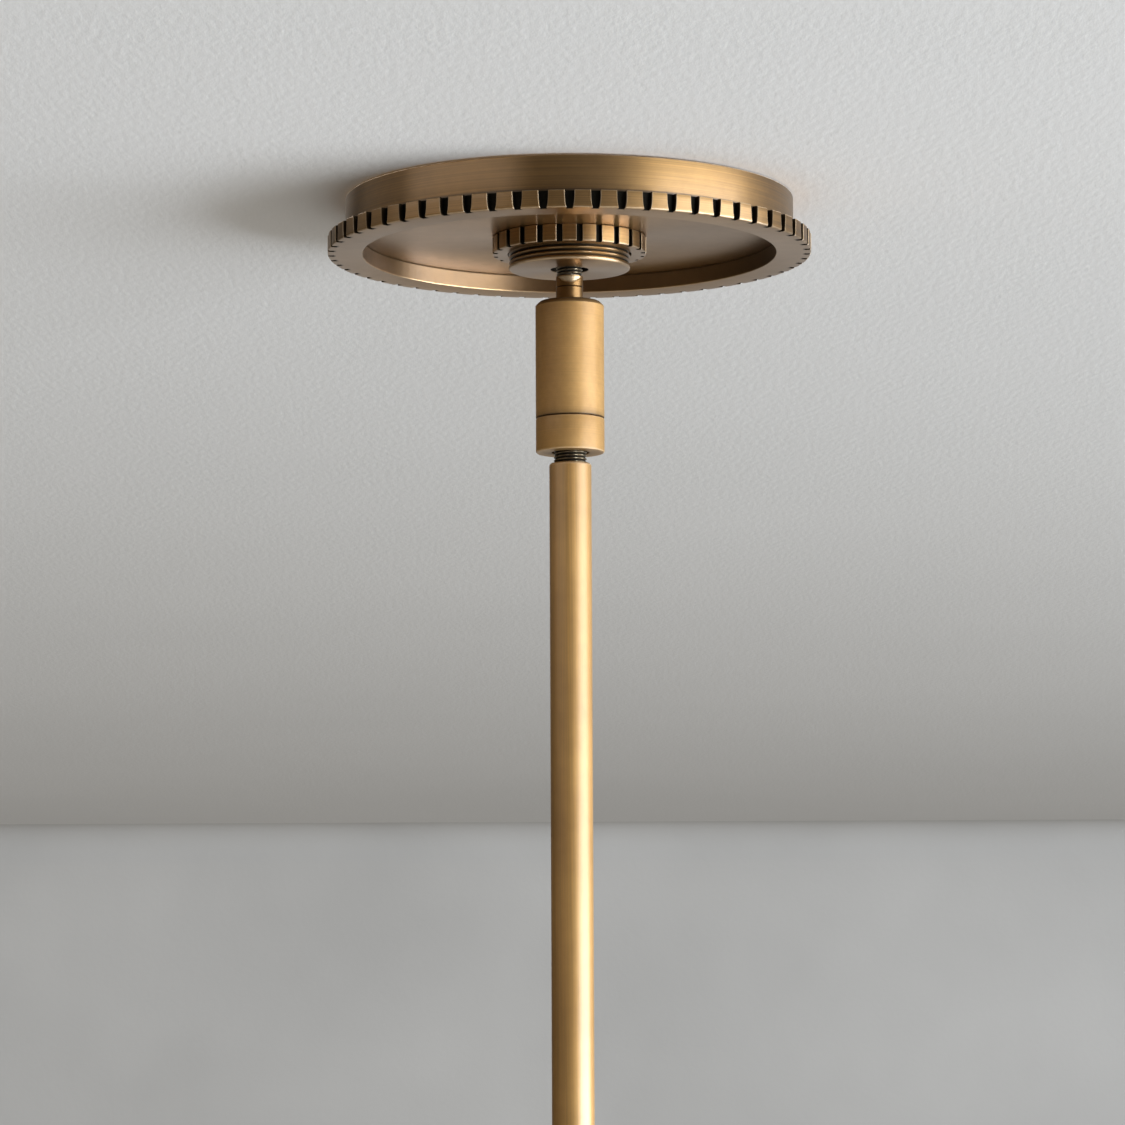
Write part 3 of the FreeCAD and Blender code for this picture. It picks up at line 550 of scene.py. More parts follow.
def brass_finish(name, clean, aged, rubbed_and_highlight, lines, fineness, sweep, brush_turn, contrast, patch,
                 side_rough, bore_rough, face_rough, brush, coat, coat_rough=0.28, metal=1.0):
    """Darkened brass under a thin lacquer: patina, brushed lines, bright edges that are partly rubbed wear
    and partly painted highlight, and slots painted black as shade.

    Brush spreads highlights across the brushed lines. They run round the axis if brush_turn is a quarter.
    """
    finish = Finish(name)
    finish.feed(Metallic=metal, Anisotropic=brush, Anisotropic_Rotation=brush_turn)
    finish.feed(Coat_Roughness=coat_rough, Coat_IOR=LACQUER_IOR)
    tree = finish.tree
    patina = finish.effect(PATINA, Clean=clean, Aged=aged, Patch_size=patch)
    brushed = finish.effect(lines, Fineness=fineness, Sweep=sweep)["Lines"]
    # Edges take a brighter colour: partly rubbed wear, partly painted highlight.
    edges = finish.effect(EDGE_WEAR_AND_HIGHLIGHT, Edge=finish.marked("wear_and_highlight"), Amount=EDGE_WEAR_AND_HIGHLIGHT_AMOUNT)["Wear and highlight"]
    painted_shade = finish.marked("painted_shade")
    flat, bore = finish.sheltered()
    outside = sum_node(tree, "SUBTRACT", 1.0, sum_node(tree, "ADD", flat, bore), clamped=True)
    strokes = stretch_range(tree, brushed, NOISE_LOW, NOISE_HIGH, -1.0, 1.0)
    strokes = sum_node(tree, "MULTIPLY", strokes, outside)
    streak = sum_node(tree, "ADD", sum_node(tree, "MULTIPLY", strokes, contrast), 1.0)
    tint = blend_colours(tree, edges, vector_node(tree, "SCALE", patina["Colour"], streak), rubbed_and_highlight)
    # The painted shade turns the base colour black.
    finish.feed(Base_Color=blend_colours(tree, painted_shade, tint, SLOT_SHADE_BLACK))
    rough = stretch_range(tree, flat, 0.0, 1.0, side_rough, face_rough)
    rougher = [(bore, bore_rough - side_rough), (strokes, STROKE_ROUGH)]
    rougher += [(patina["Age"], AGE_ROUGH), (edges, EDGE_ROUGH)]
    for share, amount in rougher:
        rough = sum_node(tree, "ADD", rough, sum_node(tree, "MULTIPLY", share, amount))
    shade_rough = sum_node(tree, "MULTIPLY", painted_shade, SHADE_ROUGH)
    finish.feed(Roughness=sum_node(tree, "ADD", rough, shade_rough, clamped=True))
    lacquer = stretch_range(tree, flat, 0.0, 1.0, coat, coat / 2)
    left_on = stretch_range(tree, painted_shade, low=0.6, high=0.95, to_low=1.0, to_high=0.0)
    finish.feed(Coat_Weight=sum_node(tree, "MULTIPLY", lacquer, left_on))
    finish.bump(strokes, strength=0.1, distance=0.04)
    return finish.material


def metal_finish(name, clean, aged, rough, speck=0.0015):
    """Plain or plated metal with slight cloudiness and thread roots painted dark as shade."""
    finish = Finish(name)
    finish.feed(Metallic=1.0)
    tree = finish.tree
    specks = finish.specks(speck)
    painted_shade = finish.marked("painted_shade")
    tint = blend_colours(tree, stretch_range(tree, specks, NOISE_LOW, NOISE_HIGH), clean, aged)
    # Thread roots are painted black as shade.
    finish.feed(Base_Color=blend_colours(tree, painted_shade, tint, ROOT_SHADE_BLACK))
    smoothest, roughest, root_rough = rough - 0.06, rough + 0.08, 0.25
    cloudy = stretch_range(tree, specks, NOISE_LOW, NOISE_HIGH, smoothest, roughest)
    shade_rough = sum_node(tree, "MULTIPLY", painted_shade, root_rough)
    finish.feed(Roughness=sum_node(tree, "ADD", cloudy, shade_rough, clamped=True))
    finish.bump(specks, strength=0.15, distance=0.05)
    return finish.material


def dull_finish(name, clean, aged, rough, bump=0.2, speck=0.0012, coat=0.0):
    """Ceramic, fibre, nylon, rubber or lacquer: no metal, slight cloudiness."""
    finish = Finish(name)
    finish.feed(Metallic=0.0, Coat_Weight=coat, Coat_Roughness=0.12)
    tree = finish.tree
    specks = finish.specks(speck)
    tint = blend_colours(tree, stretch_range(tree, specks, NOISE_LOW, NOISE_HIGH), clean, aged)
    finish.feed(Base_Color=tint)
    smoothest, roughest = rough - 0.08, rough + 0.08
    finish.feed(Roughness=stretch_range(tree, specks, NOISE_LOW, NOISE_HIGH, smoothest, roughest))
    finish.bump(specks, strength=bump, distance=0.08)
    return finish.material


def glass_finish(name, tint, index, ripple):
    """Clear blown glass, very slightly rippled."""
    finish = Finish(name)
    finish.feed(Metallic=0.0, Transmission_Weight=1.0, IOR=index, Base_Color=tint)
    ripples = finish.specks(ripple)
    finish.feed(Roughness=stretch_range(finish.tree, ripples, low=0.2, high=0.8, to_high=0.03))
    finish.bump(ripples, strength=0.06, distance=0.6)
    return finish.material


BRASS = {
    "canopy_brass": dict(
        clean=(0.40, 0.222, 0.071), aged=(0.295, 0.158, 0.048), rubbed_and_highlight=(0.80, 0.63, 0.42),
        **ROUND_LINES, contrast=0.24, brush=0.72, patch=0.035,
        side_rough=0.42, bore_rough=0.27, face_rough=0.28, coat=0.55,
    ),
    "swivel_brass": dict(
        clean=(0.58, 0.343, 0.12), aged=(0.46, 0.261, 0.086), rubbed_and_highlight=(0.88, 0.70, 0.46),
        **ROUND_LINES, contrast=0.09, brush=0.2, patch=0.016,
        side_rough=0.7, bore_rough=0.4, face_rough=0.33, coat=0.22, metal=0.72,
    ),
    # The neck's rubbed colour is a painted highlight on its catch.
    "neck_brass": dict(
        clean=(0.34, 0.188, 0.062), aged=(0.27, 0.146, 0.046), rubbed_and_highlight=(0.95, 0.80, 0.56),
        **ROUND_LINES, contrast=0.04, brush=0.4, patch=0.012,
        side_rough=0.36, bore_rough=0.3, face_rough=0.3, coat=0.3,
    ),
    "stem_brass": dict(
        clean=(0.58, 0.33, 0.096), aged=(0.455, 0.248, 0.068), rubbed_and_highlight=(0.88, 0.70, 0.46),
        **LONG_LINES, contrast=0.12, brush=0.25, patch=0.045,
        side_rough=0.6, bore_rough=0.4, face_rough=0.35, coat=0.85, coat_rough=0.36,
    ),
}
METAL = {
    "thread_steel": dict(clean=(0.36, 0.295, 0.20), aged=(0.24, 0.19, 0.125), rough=0.32),
    "bar_steel": dict(clean=(0.60, 0.60, 0.57), aged=(0.46, 0.46, 0.43), rough=0.46, speck=0.004),
    "earth_green": dict(clean=(0.08, 0.30, 0.11), aged=(0.05, 0.22, 0.08), rough=0.35),
    "lamp_metal": dict(clean=(0.78, 0.77, 0.73), aged=(0.66, 0.645, 0.60), rough=0.28),
}
DULL = {
    "fibre": dict(
        clean=(0.11, 0.09, 0.07), aged=(0.07, 0.055, 0.045), rough=0.85, bump=0.5, speck=0.0006),
    "liner_nylon": dict(clean=(0.80, 0.78, 0.71), aged=(0.74, 0.71, 0.63), rough=0.45),
    "holder_ceramic": dict(
        clean=(0.60, 0.575, 0.51), aged=(0.55, 0.525, 0.46), rough=0.22, bump=0.08, speck=0.006, coat=0.5),
    "lamp_black": dict(
        clean=(0.022, 0.021, 0.022), aged=(0.035, 0.033, 0.03), rough=0.2, bump=0.1, speck=0.002, coat=0.4),
    "filament_yellow": dict(
        clean=(0.86, 0.60, 0.17), aged=(0.78, 0.51, 0.12), rough=0.6, bump=0.35, speck=0.0004),
    "seal_silicone": dict(clean=(0.68, 0.68, 0.65), aged=(0.60, 0.60, 0.57), rough=0.6),
    "bond": dict(clean=(0.70, 0.68, 0.62), aged=(0.60, 0.575, 0.51), rough=0.8, bump=0.5, speck=0.0008),
}
GLASS = {
    "lamp_clear": dict(tint=(0.98, 0.98, 0.975), index=1.47, ripple=0.03),
    "globe_clear": dict(tint=(0.985, 0.99, 0.985), index=1.5, ripple=0.06),
}

FINISHES = {}
FINISH_KINDS = ((brass_finish, BRASS), (metal_finish, METAL), (dull_finish, DULL), (glass_finish, GLASS))
for make, looks in FINISH_KINDS:
    for name, look in looks.items():
        FINISHES[name] = make(name, **look)


# Pieces

FINE, MEDIUM, SMALL = 320, 192, 128
SHARP_EDGE, NECK_EDGE, GLASS_EDGE = 34.0, 22.0, 80.0
SAME_SPOT = 1e-7


def add_object(name, data):
    """A new object in the scene."""
    added = bpy.data.objects.new(name, data)
    bpy.context.scene.collection.objects.link(added)
    return added


def place(node, body, slot, shape, finish=None, sharp=SHARP_EDGE):
    """Makes a finished piece of a shape, in place of its CAD node. Edges over the sharp angle stay crisp."""
    mesh = bpy.data.meshes.new(node + "_mesh")
    mesh.from_pydata(shape.spots, [], shape.faces)
    for title, values in (("wear_and_highlight", shape.wear_and_highlight), ("painted_shade", shape.painted_shade)):
        layer = mesh.attributes.new(title, "FLOAT", "POINT")
        layer.data.foreach_set("value", values)
    work = bmesh.new()
    work.from_mesh(mesh)
    bmesh.ops.remove_doubles(work, verts=work.verts, dist=SAME_SPOT)
    bmesh.ops.recalc_face_normals(work, faces=work.faces)
    work.to_mesh(mesh)
    work.free()
    mesh.shade_smooth()
    mesh.set_sharp_from_angle(angle=math.radians(sharp))
    piece = add_object(node + "_piece", mesh)
    mesh.materials.append(FINISHES[finish or slot])
    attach(piece, body)
    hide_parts(node)
    return piece


# Canopy pan, with painted shade in its corner with the rim

BAND, PAN_HOLE, PAN_WALL = girth("canopy_pan"), 18.9, 1.5
PLATE, PAN_TOP = span("canopy_pan")
SHADE_WIDTH, SHADE_END = 1.0, 1.7

place("canopy_pan", "canopy", "canopy_brass", turn([
    Corner(PAN_HOLE, PLATE, rounding=0.2),
    Corner(BAND - SHADE_WIDTH, PLATE),
    Corner(BAND, PLATE, shaded=0.9),
    Corner(BAND, PLATE + SHADE_WIDTH, shaded=0.6),
    Corner(BAND, PLATE + SHADE_END),
    Corner(BAND, PAN_TOP, rounding=0.35),
    Corner(BAND - PAN_WALL, PAN_TOP, rounding=0.35),
    Corner(BAND - PAN_WALL, PLATE + PAN_WALL, rounding=0.6),
    Corner(PAN_HOLE, PLATE + PAN_WALL, rounding=0.2),
], FINE))

# Toothed rim under the pan, with painted shade on its inner wall and in its corner with the pan

RIM, RIM_BORE = girth("canopy_rim"), 62.8
RIM_LOW, RIM_TOP = span("canopy_rim")
RIM_TEETH, RIM_SLOT_DEPTH, RIM_LAND = 60, 1.8, 0.8
RIM_SLOTS = dict(slot_width=2.8, slot_depth=RIM_SLOT_DEPTH, draw_in=0.52)
SLOT_LAND = RIM_SLOT_DEPTH + RIM_LAND
WALL_SHADE, WALL_EDGE = 0.55, 0.5

place("canopy_rim", "canopy", "canopy_brass", mill([
    Corner(RIM_BORE, RIM_LOW + WALL_EDGE, shaded=WALL_SHADE),
    Corner(RIM_BORE, RIM_LOW, rounding=0.3),
    Corner(RIM - SLOT_LAND, RIM_LOW),
    *tooth_side(RIM, RIM_LOW, RIM_TOP),
    Corner(RIM - SLOT_LAND, RIM_TOP),
    Corner(RIM_BORE, RIM_TOP, rounding=0.2, shaded=0.8),
    Corner(RIM_BORE, RIM_TOP - WALL_EDGE, shaded=WALL_SHADE),
], RIM_TEETH, RIM, **RIM_SLOTS))

# Toothed ring nut, with a recess for the friction washer and a tooth towards the camera

COLLAR, COLLAR_BORE = girth("collar_ring"), 18.75
COLLAR_LOW, COLLAR_TOP = span("collar_ring")
COLLAR_TEETH, COLLAR_SLOT, COLLAR_SLOT_DEPTH, COLLAR_LAND = 24, 1.7, 1.3, 0.4
RECESS, RECESS_DRAFT = 21.3, 0.2
RECESS_FLOOR = span("friction_washer")[0]
collar_land = COLLAR - COLLAR_SLOT_DEPTH - COLLAR_LAND
collar_half_tooth = 360.0 / COLLAR_TEETH / 2

place("collar_ring", "collar", "canopy_brass", mill([
    Corner(COLLAR_BORE, COLLAR_LOW, rounding=0.3),
    Corner(collar_land, COLLAR_LOW),
    Corner(COLLAR, COLLAR_LOW, rounding=0.4, cut=True),
    Corner(COLLAR, COLLAR_TOP, rounding=0.3, cut=True),
    Corner(RECESS + RECESS_DRAFT, COLLAR_TOP),
    Corner(RECESS, RECESS_FLOOR),
    Corner(COLLAR_BORE, RECESS_FLOOR),
], COLLAR_TEETH, COLLAR, COLLAR_SLOT, COLLAR_SLOT_DEPTH, first_slot=TOWARDS_CAMERA + collar_half_tooth))

# Threaded hub, with painted shade in its hole and thread roots

HUB, HUB_HOLE, HUB_INSIDE = girth("hub"), 5.7, 14.0
HUB_LOW, HUB_TOP = span("hub")
HUB_FLOOR = span("stud_washer")[0]
HUB_PITCH, HUB_THREAD = 1.5, 0.7
HUB_PLAIN_BELOW, HUB_PLAIN_ABOVE = 0.9, 4.8
HUB_THREAD_LOW, HUB_THREAD_TOP = HUB_LOW + HUB_PLAIN_BELOW, HUB_TOP - HUB_PLAIN_ABOVE
HOLE_EDGE, HOLE_SHADE = 0.2, 0.95

hub_outline = [
    Corner(HUB_HOLE, HUB_FLOOR, shaded=HOLE_SHADE),
    Corner(HUB_HOLE, HUB_LOW + HOLE_EDGE, shaded=HOLE_SHADE),
    Corner(HUB_HOLE + HOLE_EDGE, HUB_LOW),
    Corner(HUB, HUB_LOW, rounding=0.8),
    *thread_rows(HUB, HUB_THREAD_LOW, HUB_THREAD_TOP, HUB_PITCH),
    Corner(HUB, HUB_TOP, rounding=0.3),
    Corner(HUB_INSIDE, HUB_TOP, rounding=0.3),
    Corner(HUB_INSIDE, HUB_FLOOR),
]
hub_dip = helix_dip(HUB_PITCH, HUB_THREAD, HUB_THREAD_LOW, HUB_THREAD_TOP)
place("hub", "ceiling_mount", "canopy_brass", turn(hub_outline, MEDIUM, hub_dip, HUB_THREAD))

# Threaded lamp tubes, with painted shade in their thread roots

TUBE_PITCH, TUBE_THREAD = 1.0, 0.5
STUD_BORE, STUD_TAIL = 2.1, 2.9
NIPPLE_BORE, NIPPLE_HOLE = 3.4, 5.05
NECK_TOP = span("ball_stud")[1]


def threaded_tube(node, body, bore, tail=None, tail_top=None):
    """A lamp tube, threaded from end to end or down to the top of a plain tail of that radius."""
    crest = girth(node)
    low, high = span(node)
    outline = [Corner(bore, low)]
    if tail:
        outline += [Corner(tail, low), Corner(tail, tail_top)]
        low = tail_top
    outline += [
        Corner(crest - TUBE_THREAD, low),
        *thread_rows(crest, low + TUBE_THREAD, high - TUBE_THREAD, TUBE_PITCH),
        Corner(crest - TUBE_THREAD, high),
        Corner(bore, high),
    ]
    dip = helix_dip(TUBE_PITCH, TUBE_THREAD, low, high)
    place(node, body, "thread_steel", turn(outline, SMALL, dip, TUBE_THREAD))


threaded_tube("stud_nipple", "ball_stud", STUD_BORE, STUD_TAIL, NECK_TOP)
threaded_tube("stem_nipple", "pendant", NIPPLE_BORE)
threaded_tube("lower_nipple", "pendant", NIPPLE_BORE)

# Neck and ball, with a fine groove in painted shade and a ground catch on the neck's front and back, painted
# bright as a highlight

BALL, BALL_MIDDLE, BALL_FLAT, BALL_STEPS = 7.4, -37.9, 4.0, 24
NECK, NECK_HOLE, NECK_ROWS, TAIL_PLAY = 4.1, 2.95, 56, 0.05
CATCH_TOP, CATCH_TALL, CATCH_DEPTH, CATCH_LEDGE = NECK_TOP - 0.15, 2.1, 0.8, 0.86
CATCH_MARGIN = 0.4
CATCH_SPREAD = math.radians(64.0)
GROOVE, GROOVE_DEPTH, GROOVE_ABOVE = NECK_TOP - 3.2, 0.3, 0.12


def catch_dip(angle, height):
    """A catch with a level top and a round bottom that faces down: it gets deeper, and ends in a ledge."""
    off = abs((angle % math.pi) - math.pi / 2) / CATCH_SPREAD
    if off >= 1.0:
        return 0.0
    fall = 1.0 - off ** 2
    along = (CATCH_TOP - height) / (CATCH_TALL * fall)
    if along <= 0.0 or along >= 1.0:
        return 0.0
    slope = along / CATCH_LEDGE if along < CATCH_LEDGE else (1.0 - along) / (1.0 - CATCH_LEDGE)
    return CATCH_DEPTH * fall * slope


ball_low = -math.degrees(math.acos(BALL_FLAT / BALL))
ball_high = math.degrees(math.acos(NECK / BALL))
neck_low = CATCH_TOP - CATCH_TALL - CATCH_MARGIN
tail_floor = span("stud_nipple")[0] - TAIL_PLAY
stud_outline = [
    Corner(STUD_BORE, BALL_MIDDLE - math.sqrt(BALL ** 2 - BALL_FLAT ** 2)),
    *arc(0.0, BALL_MIDDLE, BALL, ball_low, ball_high, BALL_STEPS),
    Corner(NECK, GROOVE - GROOVE_DEPTH),
    Corner(NECK - GROOVE_DEPTH, GROOVE, shaded=0.9),
    Corner(NECK, GROOVE + GROOVE_ABOVE),
    *cut_rows(NECK, neck_low, NECK_TOP, NECK_ROWS),
    Corner(NECK_HOLE, NECK_TOP),
    Corner(NECK_HOLE, tail_floor),
    Corner(STUD_BORE, tail_floor),
]
# The catch is painted bright with the neck's rubbed colour: a painted highlight.
stud_shape = turn(stud_outline, MEDIUM, catch_dip, CATCH_DEPTH, bright_cuts=True)
place("ball_stud", "ball_stud", "stem_brass", stud_shape, finish="neck_brass", sharp=NECK_EDGE)

# Swivel body, with painted shade at its seam, top bevel and mouth

SWIVEL, SWIVEL_BORE = girth("swivel_body"), 8.6
SEAM, SWIVEL_TOP = span("swivel_body")
SWIVEL_BEVEL, SWIVEL_MOUTH, SWIVEL_THROAT = 1.3, 8.51, 7.31
THROAT_BELOW, SEAT_BELOW = 2.4, 5.17
SEAM_SHADE = [(0.3, 0.28), (0.9, 0.16), (2.4, 0.0)]
BEVEL_SHADE_EDGE = 0.2

place("swivel_body", "pendant", "stem_brass", turn([
    Corner(SWIVEL_BORE, SEAM),
    Corner(SWIVEL, SEAM, rounding=0.15, shaded=0.7),
    *(Corner(SWIVEL, SEAM + rise, shaded=shaded) for rise, shaded in SEAM_SHADE),
    Corner(SWIVEL, SWIVEL_TOP - SWIVEL_BEVEL - BEVEL_SHADE_EDGE),
    Corner(SWIVEL, SWIVEL_TOP - SWIVEL_BEVEL, rounding=0.15, shaded=0.5),
    Corner(SWIVEL - SWIVEL_BEVEL, SWIVEL_TOP, rounding=0.2, shaded=0.8),
    Corner(SWIVEL_MOUTH, SWIVEL_TOP, rounding=0.1, shaded=0.6),
    Corner(SWIVEL_THROAT, SWIVEL_TOP - THROAT_BELOW, shaded=0.7),
    Corner(SWIVEL_BORE, SWIVEL_TOP - SEAT_BELOW),
], MEDIUM), finish="swivel_brass")

# Swivel ring, with its spigot up in the body and painted shade round the recess for the tube

RING_LOW, SPIGOT_TOP = span("swivel_ring")
SPIGOT, SEAM_GAP, RING_RECESS, RING_RECESS_DEPTH, RING_UNSHADED = 8.55, 0.35, 5.7, 2.0, 0.6
RING_TOP, RING_RECESS_TOP = SEAM - SEAM_GAP, RING_LOW + RING_RECESS_DEPTH

place("swivel_ring", "pendant", "stem_brass", turn([
    Corner(RING_RECESS, RING_LOW, rounding=0.25, shaded=0.45),
    Corner(SWIVEL - RING_UNSHADED, RING_LOW, shaded=0.2),
    Corner(SWIVEL, RING_LOW, rounding=0.5),
    Corner(SWIVEL, RING_TOP, rounding=0.2),
    Corner(SPIGOT, RING_TOP),
    Corner(SPIGOT, SPIGOT_TOP),
    Corner(NIPPLE_HOLE, SPIGOT_TOP),
    Corner(NIPPLE_HOLE, RING_RECESS_TOP, shaded=0.8),
    Corner(RING_RECESS, RING_RECESS_TOP, shaded=0.8),
], MEDIUM), finish="swivel_brass")

# Stem and the coupler under it

STEM, COUPLER = girth("stem"), girth("stem_coupler")
STEM_LOW, STEM_TOP = span("stem")
COUPLER_LOW, COUPLER_TOP = span("stem_coupler")

place("stem", "pendant", "stem_brass", turn([
    Corner(NIPPLE_HOLE, STEM_LOW),
    Corner(STEM, STEM_LOW, rounding=0.9),
    Corner(STEM, STEM_TOP, rounding=0.9),
    Corner(NIPPLE_HOLE, STEM_TOP),
], MEDIUM, steps=ROUND_STEPS))
place("stem_coupler", "pendant", "stem_brass", turn([
    Corner(NIPPLE_HOLE, COUPLER_LOW),
    Corner(COUPLER, COUPLER_LOW, rounding=0.4),
    Corner(COUPLER, COUPLER_TOP, rounding=0.5),
    Corner(NIPPLE_HOLE, COUPLER_TOP, rounding=0.2),
], MEDIUM), finish="swivel_brass")

# Cap over the globe

CAP, CAP_WALL = girth("globe_cap"), 1.8
CAP_LOW, CAP_TOP = span("globe_cap")

place("globe_cap", "pendant", "canopy_brass", turn([
    Corner(CAP - CAP_WALL, CAP_LOW, rounding=0.3),
    Corner(CAP, CAP_LOW, rounding=0.35),
    Corner(CAP, CAP_TOP, rounding=1.0),
    Corner(NIPPLE_HOLE, CAP_TOP),
    Corner(NIPPLE_HOLE, CAP_TOP - CAP_WALL),
    Corner(CAP - CAP_WALL, CAP_TOP - CAP_WALL, rounding=0.6),
], FINE))

# Toothed screw collar bonded to the globe's neck, with a flange as tall as the canopy's rim

FITTER, FITTER_BORE, FITTER_SPIGOT = girth("globe_collar"), 41.0, 43.9
FITTER_LOW, FITTER_TOP = span("globe_collar")
FITTER_STEP = FITTER_LOW + RIM_TOP - RIM_LOW
FITTER_PITCH, FITTER_THREAD, FITTER_TEETH = 3.0, 0.9, 42
FITTER_LEAD = 0.4


def fitter_spigot():
    """Corners up the spigot's coarse thread and over its top. Each ridge has a sloping flank and a crest."""
    first_ridge, crest_start, crest_end, last_ridge = 0.3, 0.35, 0.6, 0.4
    corners = []
    height = FITTER_STEP + FITTER_PITCH * first_ridge
    while height < FITTER_TOP - FITTER_PITCH * last_ridge:
        corners.append(Corner(FITTER_SPIGOT - FITTER_THREAD, height))
        corners.append(Corner(FITTER_SPIGOT, height + FITTER_PITCH * crest_start))
        corners.append(Corner(FITTER_SPIGOT, height + FITTER_PITCH * crest_end))
        height += FITTER_PITCH
    return corners + [Corner(FITTER_SPIGOT - FITTER_LEAD, FITTER_TOP), Corner(FITTER_BORE, FITTER_TOP)]


place("globe_collar", "globe", "canopy_brass", mill([
    Corner(FITTER_BORE, FITTER_LOW, rounding=0.3),
    Corner(FITTER - SLOT_LAND, FITTER_LOW),
    *tooth_side(FITTER, FITTER_LOW, FITTER_STEP),
    Corner(FITTER - SLOT_LAND, FITTER_STEP),
    Corner(FITTER_SPIGOT - FITTER_THREAD, FITTER_STEP),
], FITTER_TEETH, FITTER, **RIM_SLOTS, spigot=fitter_spigot()))

# Globe and lamp. Clear glass lets the light through to the pieces inside it

globe_outline = blown(*span("globe"), radius=127.0, neck=40.0, sweep=10.0, wall=3.0, steps=72)
lamp_outline = blown(*span("lamp_glass"), radius=30.0, neck=11.7, sweep=45.0, wall=0.9, steps=40)
globe = place("globe", "globe", "globe_clear", turn(globe_outline, around=224), sharp=GLASS_EDGE)
bulb = place("lamp_glass", "lamp", "lamp_clear", turn(lamp_outline, around=160), sharp=GLASS_EDGE)
for glass in (globe, bulb):
    glass.visible_shadow = False

# Lamp cap with its rolled screw, with a little painted shade in its roots

LAMP_CAP, LAMP_CAP_WALL = girth("lamp_cap"), 1.1
LAMP_CAP_LOW, LAMP_CAP_TOP = span("lamp_cap")
LAMP_CAP_PITCH, LAMP_CAP_ROLL, ROLL_START, ROLL_RUN_OUT = 4.0, 0.5, 2.5, 2.0
LAMP_SHOULDER, SHOULDER_STEPS, LAMP_CROWN, LAMP_EAVES = 1.6, 6, 0.6, 1.4
ROOT_SHADE = 0.25


def rolled_dip(angle, height):
    """The rounded screw that is rolled into a lamp cap. It runs out at both ends."""
    phase = height / LAMP_CAP_PITCH - angle / FULL_TURN
    from_end = min(height - LAMP_CAP_LOW - ROLL_START, LAMP_CAP_TOP - height)
    wave = 0.5 - 0.5 * math.cos(FULL_TURN * phase)
    return LAMP_CAP_ROLL * wave * clamp(from_end / ROLL_RUN_OUT)


shoulder_radius, shoulder_height = LAMP_CAP - LAMP_SHOULDER, LAMP_CAP_TOP - LAMP_SHOULDER
lamp_cap_outline = [
    Corner(LAMP_CAP - LAMP_CAP_WALL, LAMP_CAP_LOW),
    *thread_rows(LAMP_CAP, LAMP_CAP_LOW, shoulder_height, LAMP_CAP_PITCH),
    *arc(shoulder_radius, shoulder_height, LAMP_SHOULDER, OUTWARDS, UP, SHOULDER_STEPS)[1:],
    Corner(0.0, LAMP_CAP_TOP),
    Corner(0.0, LAMP_CAP_TOP - LAMP_CROWN),
    Corner(LAMP_CAP - LAMP_CAP_WALL, LAMP_CAP_TOP - LAMP_EAVES),
]
lamp_cap_shape = turn(lamp_cap_outline, SMALL, rolled_dip, LAMP_CAP_ROLL / ROOT_SHADE)
place("lamp_cap", "lamp", "lamp_metal", lamp_cap_shape)

# Lampholder: a coned metal cap and a ceramic body

HOLDER_CAP, HOLDER_CAP_WALL, HOLDER_CONE, HOLDER_CONE_INSIDE = girth("socket_cap"), 1.2, 5.0, 5.5
HOLDER_CAP_LOW, HOLDER_CAP_TOP = span("socket_cap")
HOLDER, HOLDER_INSIDE, HOLDER_ROOF, WIRE_HOLE = girth("socket_body"), 14.65, 8.0, 1.6
HOLDER_LOW, HOLDER_TOP = span("socket_body")

place("socket_cap", "pendant", "stem_brass", turn([
    Corner(HOLDER_CAP - HOLDER_CAP_WALL, HOLDER_CAP_LOW, rounding=0.3),
    Corner(HOLDER_CAP, HOLDER_CAP_LOW, rounding=0.4),
    Corner(HOLDER_CAP, HOLDER_CAP_TOP - HOLDER_CONE, rounding=1.6),
    Corner(HOLDER_CAP - HOLDER_CONE, HOLDER_CAP_TOP, rounding=1.6),
    Corner(NIPPLE_HOLE, HOLDER_CAP_TOP),
    Corner(NIPPLE_HOLE, HOLDER_CAP_TOP - HOLDER_CAP_WALL),
    Corner(HOLDER_CAP - HOLDER_CONE_INSIDE, HOLDER_CAP_TOP - HOLDER_CAP_WALL),
    Corner(HOLDER_CAP - HOLDER_CAP_WALL, HOLDER_CAP_TOP - HOLDER_CONE_INSIDE),
], MEDIUM, steps=ROUND_STEPS), finish="swivel_brass")
place("socket_body", "pendant", "holder_ceramic", turn([
    Corner(HOLDER_INSIDE, HOLDER_LOW, rounding=0.8),
    Corner(HOLDER, HOLDER_LOW, rounding=1.2),
    Corner(HOLDER, HOLDER_TOP),
    Corner(WIRE_HOLE, HOLDER_TOP),
    Corner(WIRE_HOLE, HOLDER_TOP - HOLDER_ROOF),
    Corner(HOLDER_INSIDE, HOLDER_TOP - HOLDER_ROOF),
], MEDIUM, steps=ROUND_STEPS))

# CAD pieces that stay as they are, with finishes from their slots

for part in frame["record"]["subparts"]:
    solid = frame["nodes"][part["node"]]
    solid.data.materials.clear()
    solid.data.materials.append(FINISHES[part["material_slot"]])


# Room: a plain ceiling that the light hangs from, a wall behind it and a pale floor

CEILING_LIFT = 0.0005
WALL_BEHIND = 2.39
WALL_LEFT = -0.95
FLOOR_LEVEL = -2.0
ROOM_HALF = 6.0
GLOW_BLUE = 0.99
ROOM_CORNER, CORNER_STEPS, CORNER_SHADING = 0.03, 8, 0.2
CEILING_ROWS = (-ROOM_HALF, 1.0, 2.2)


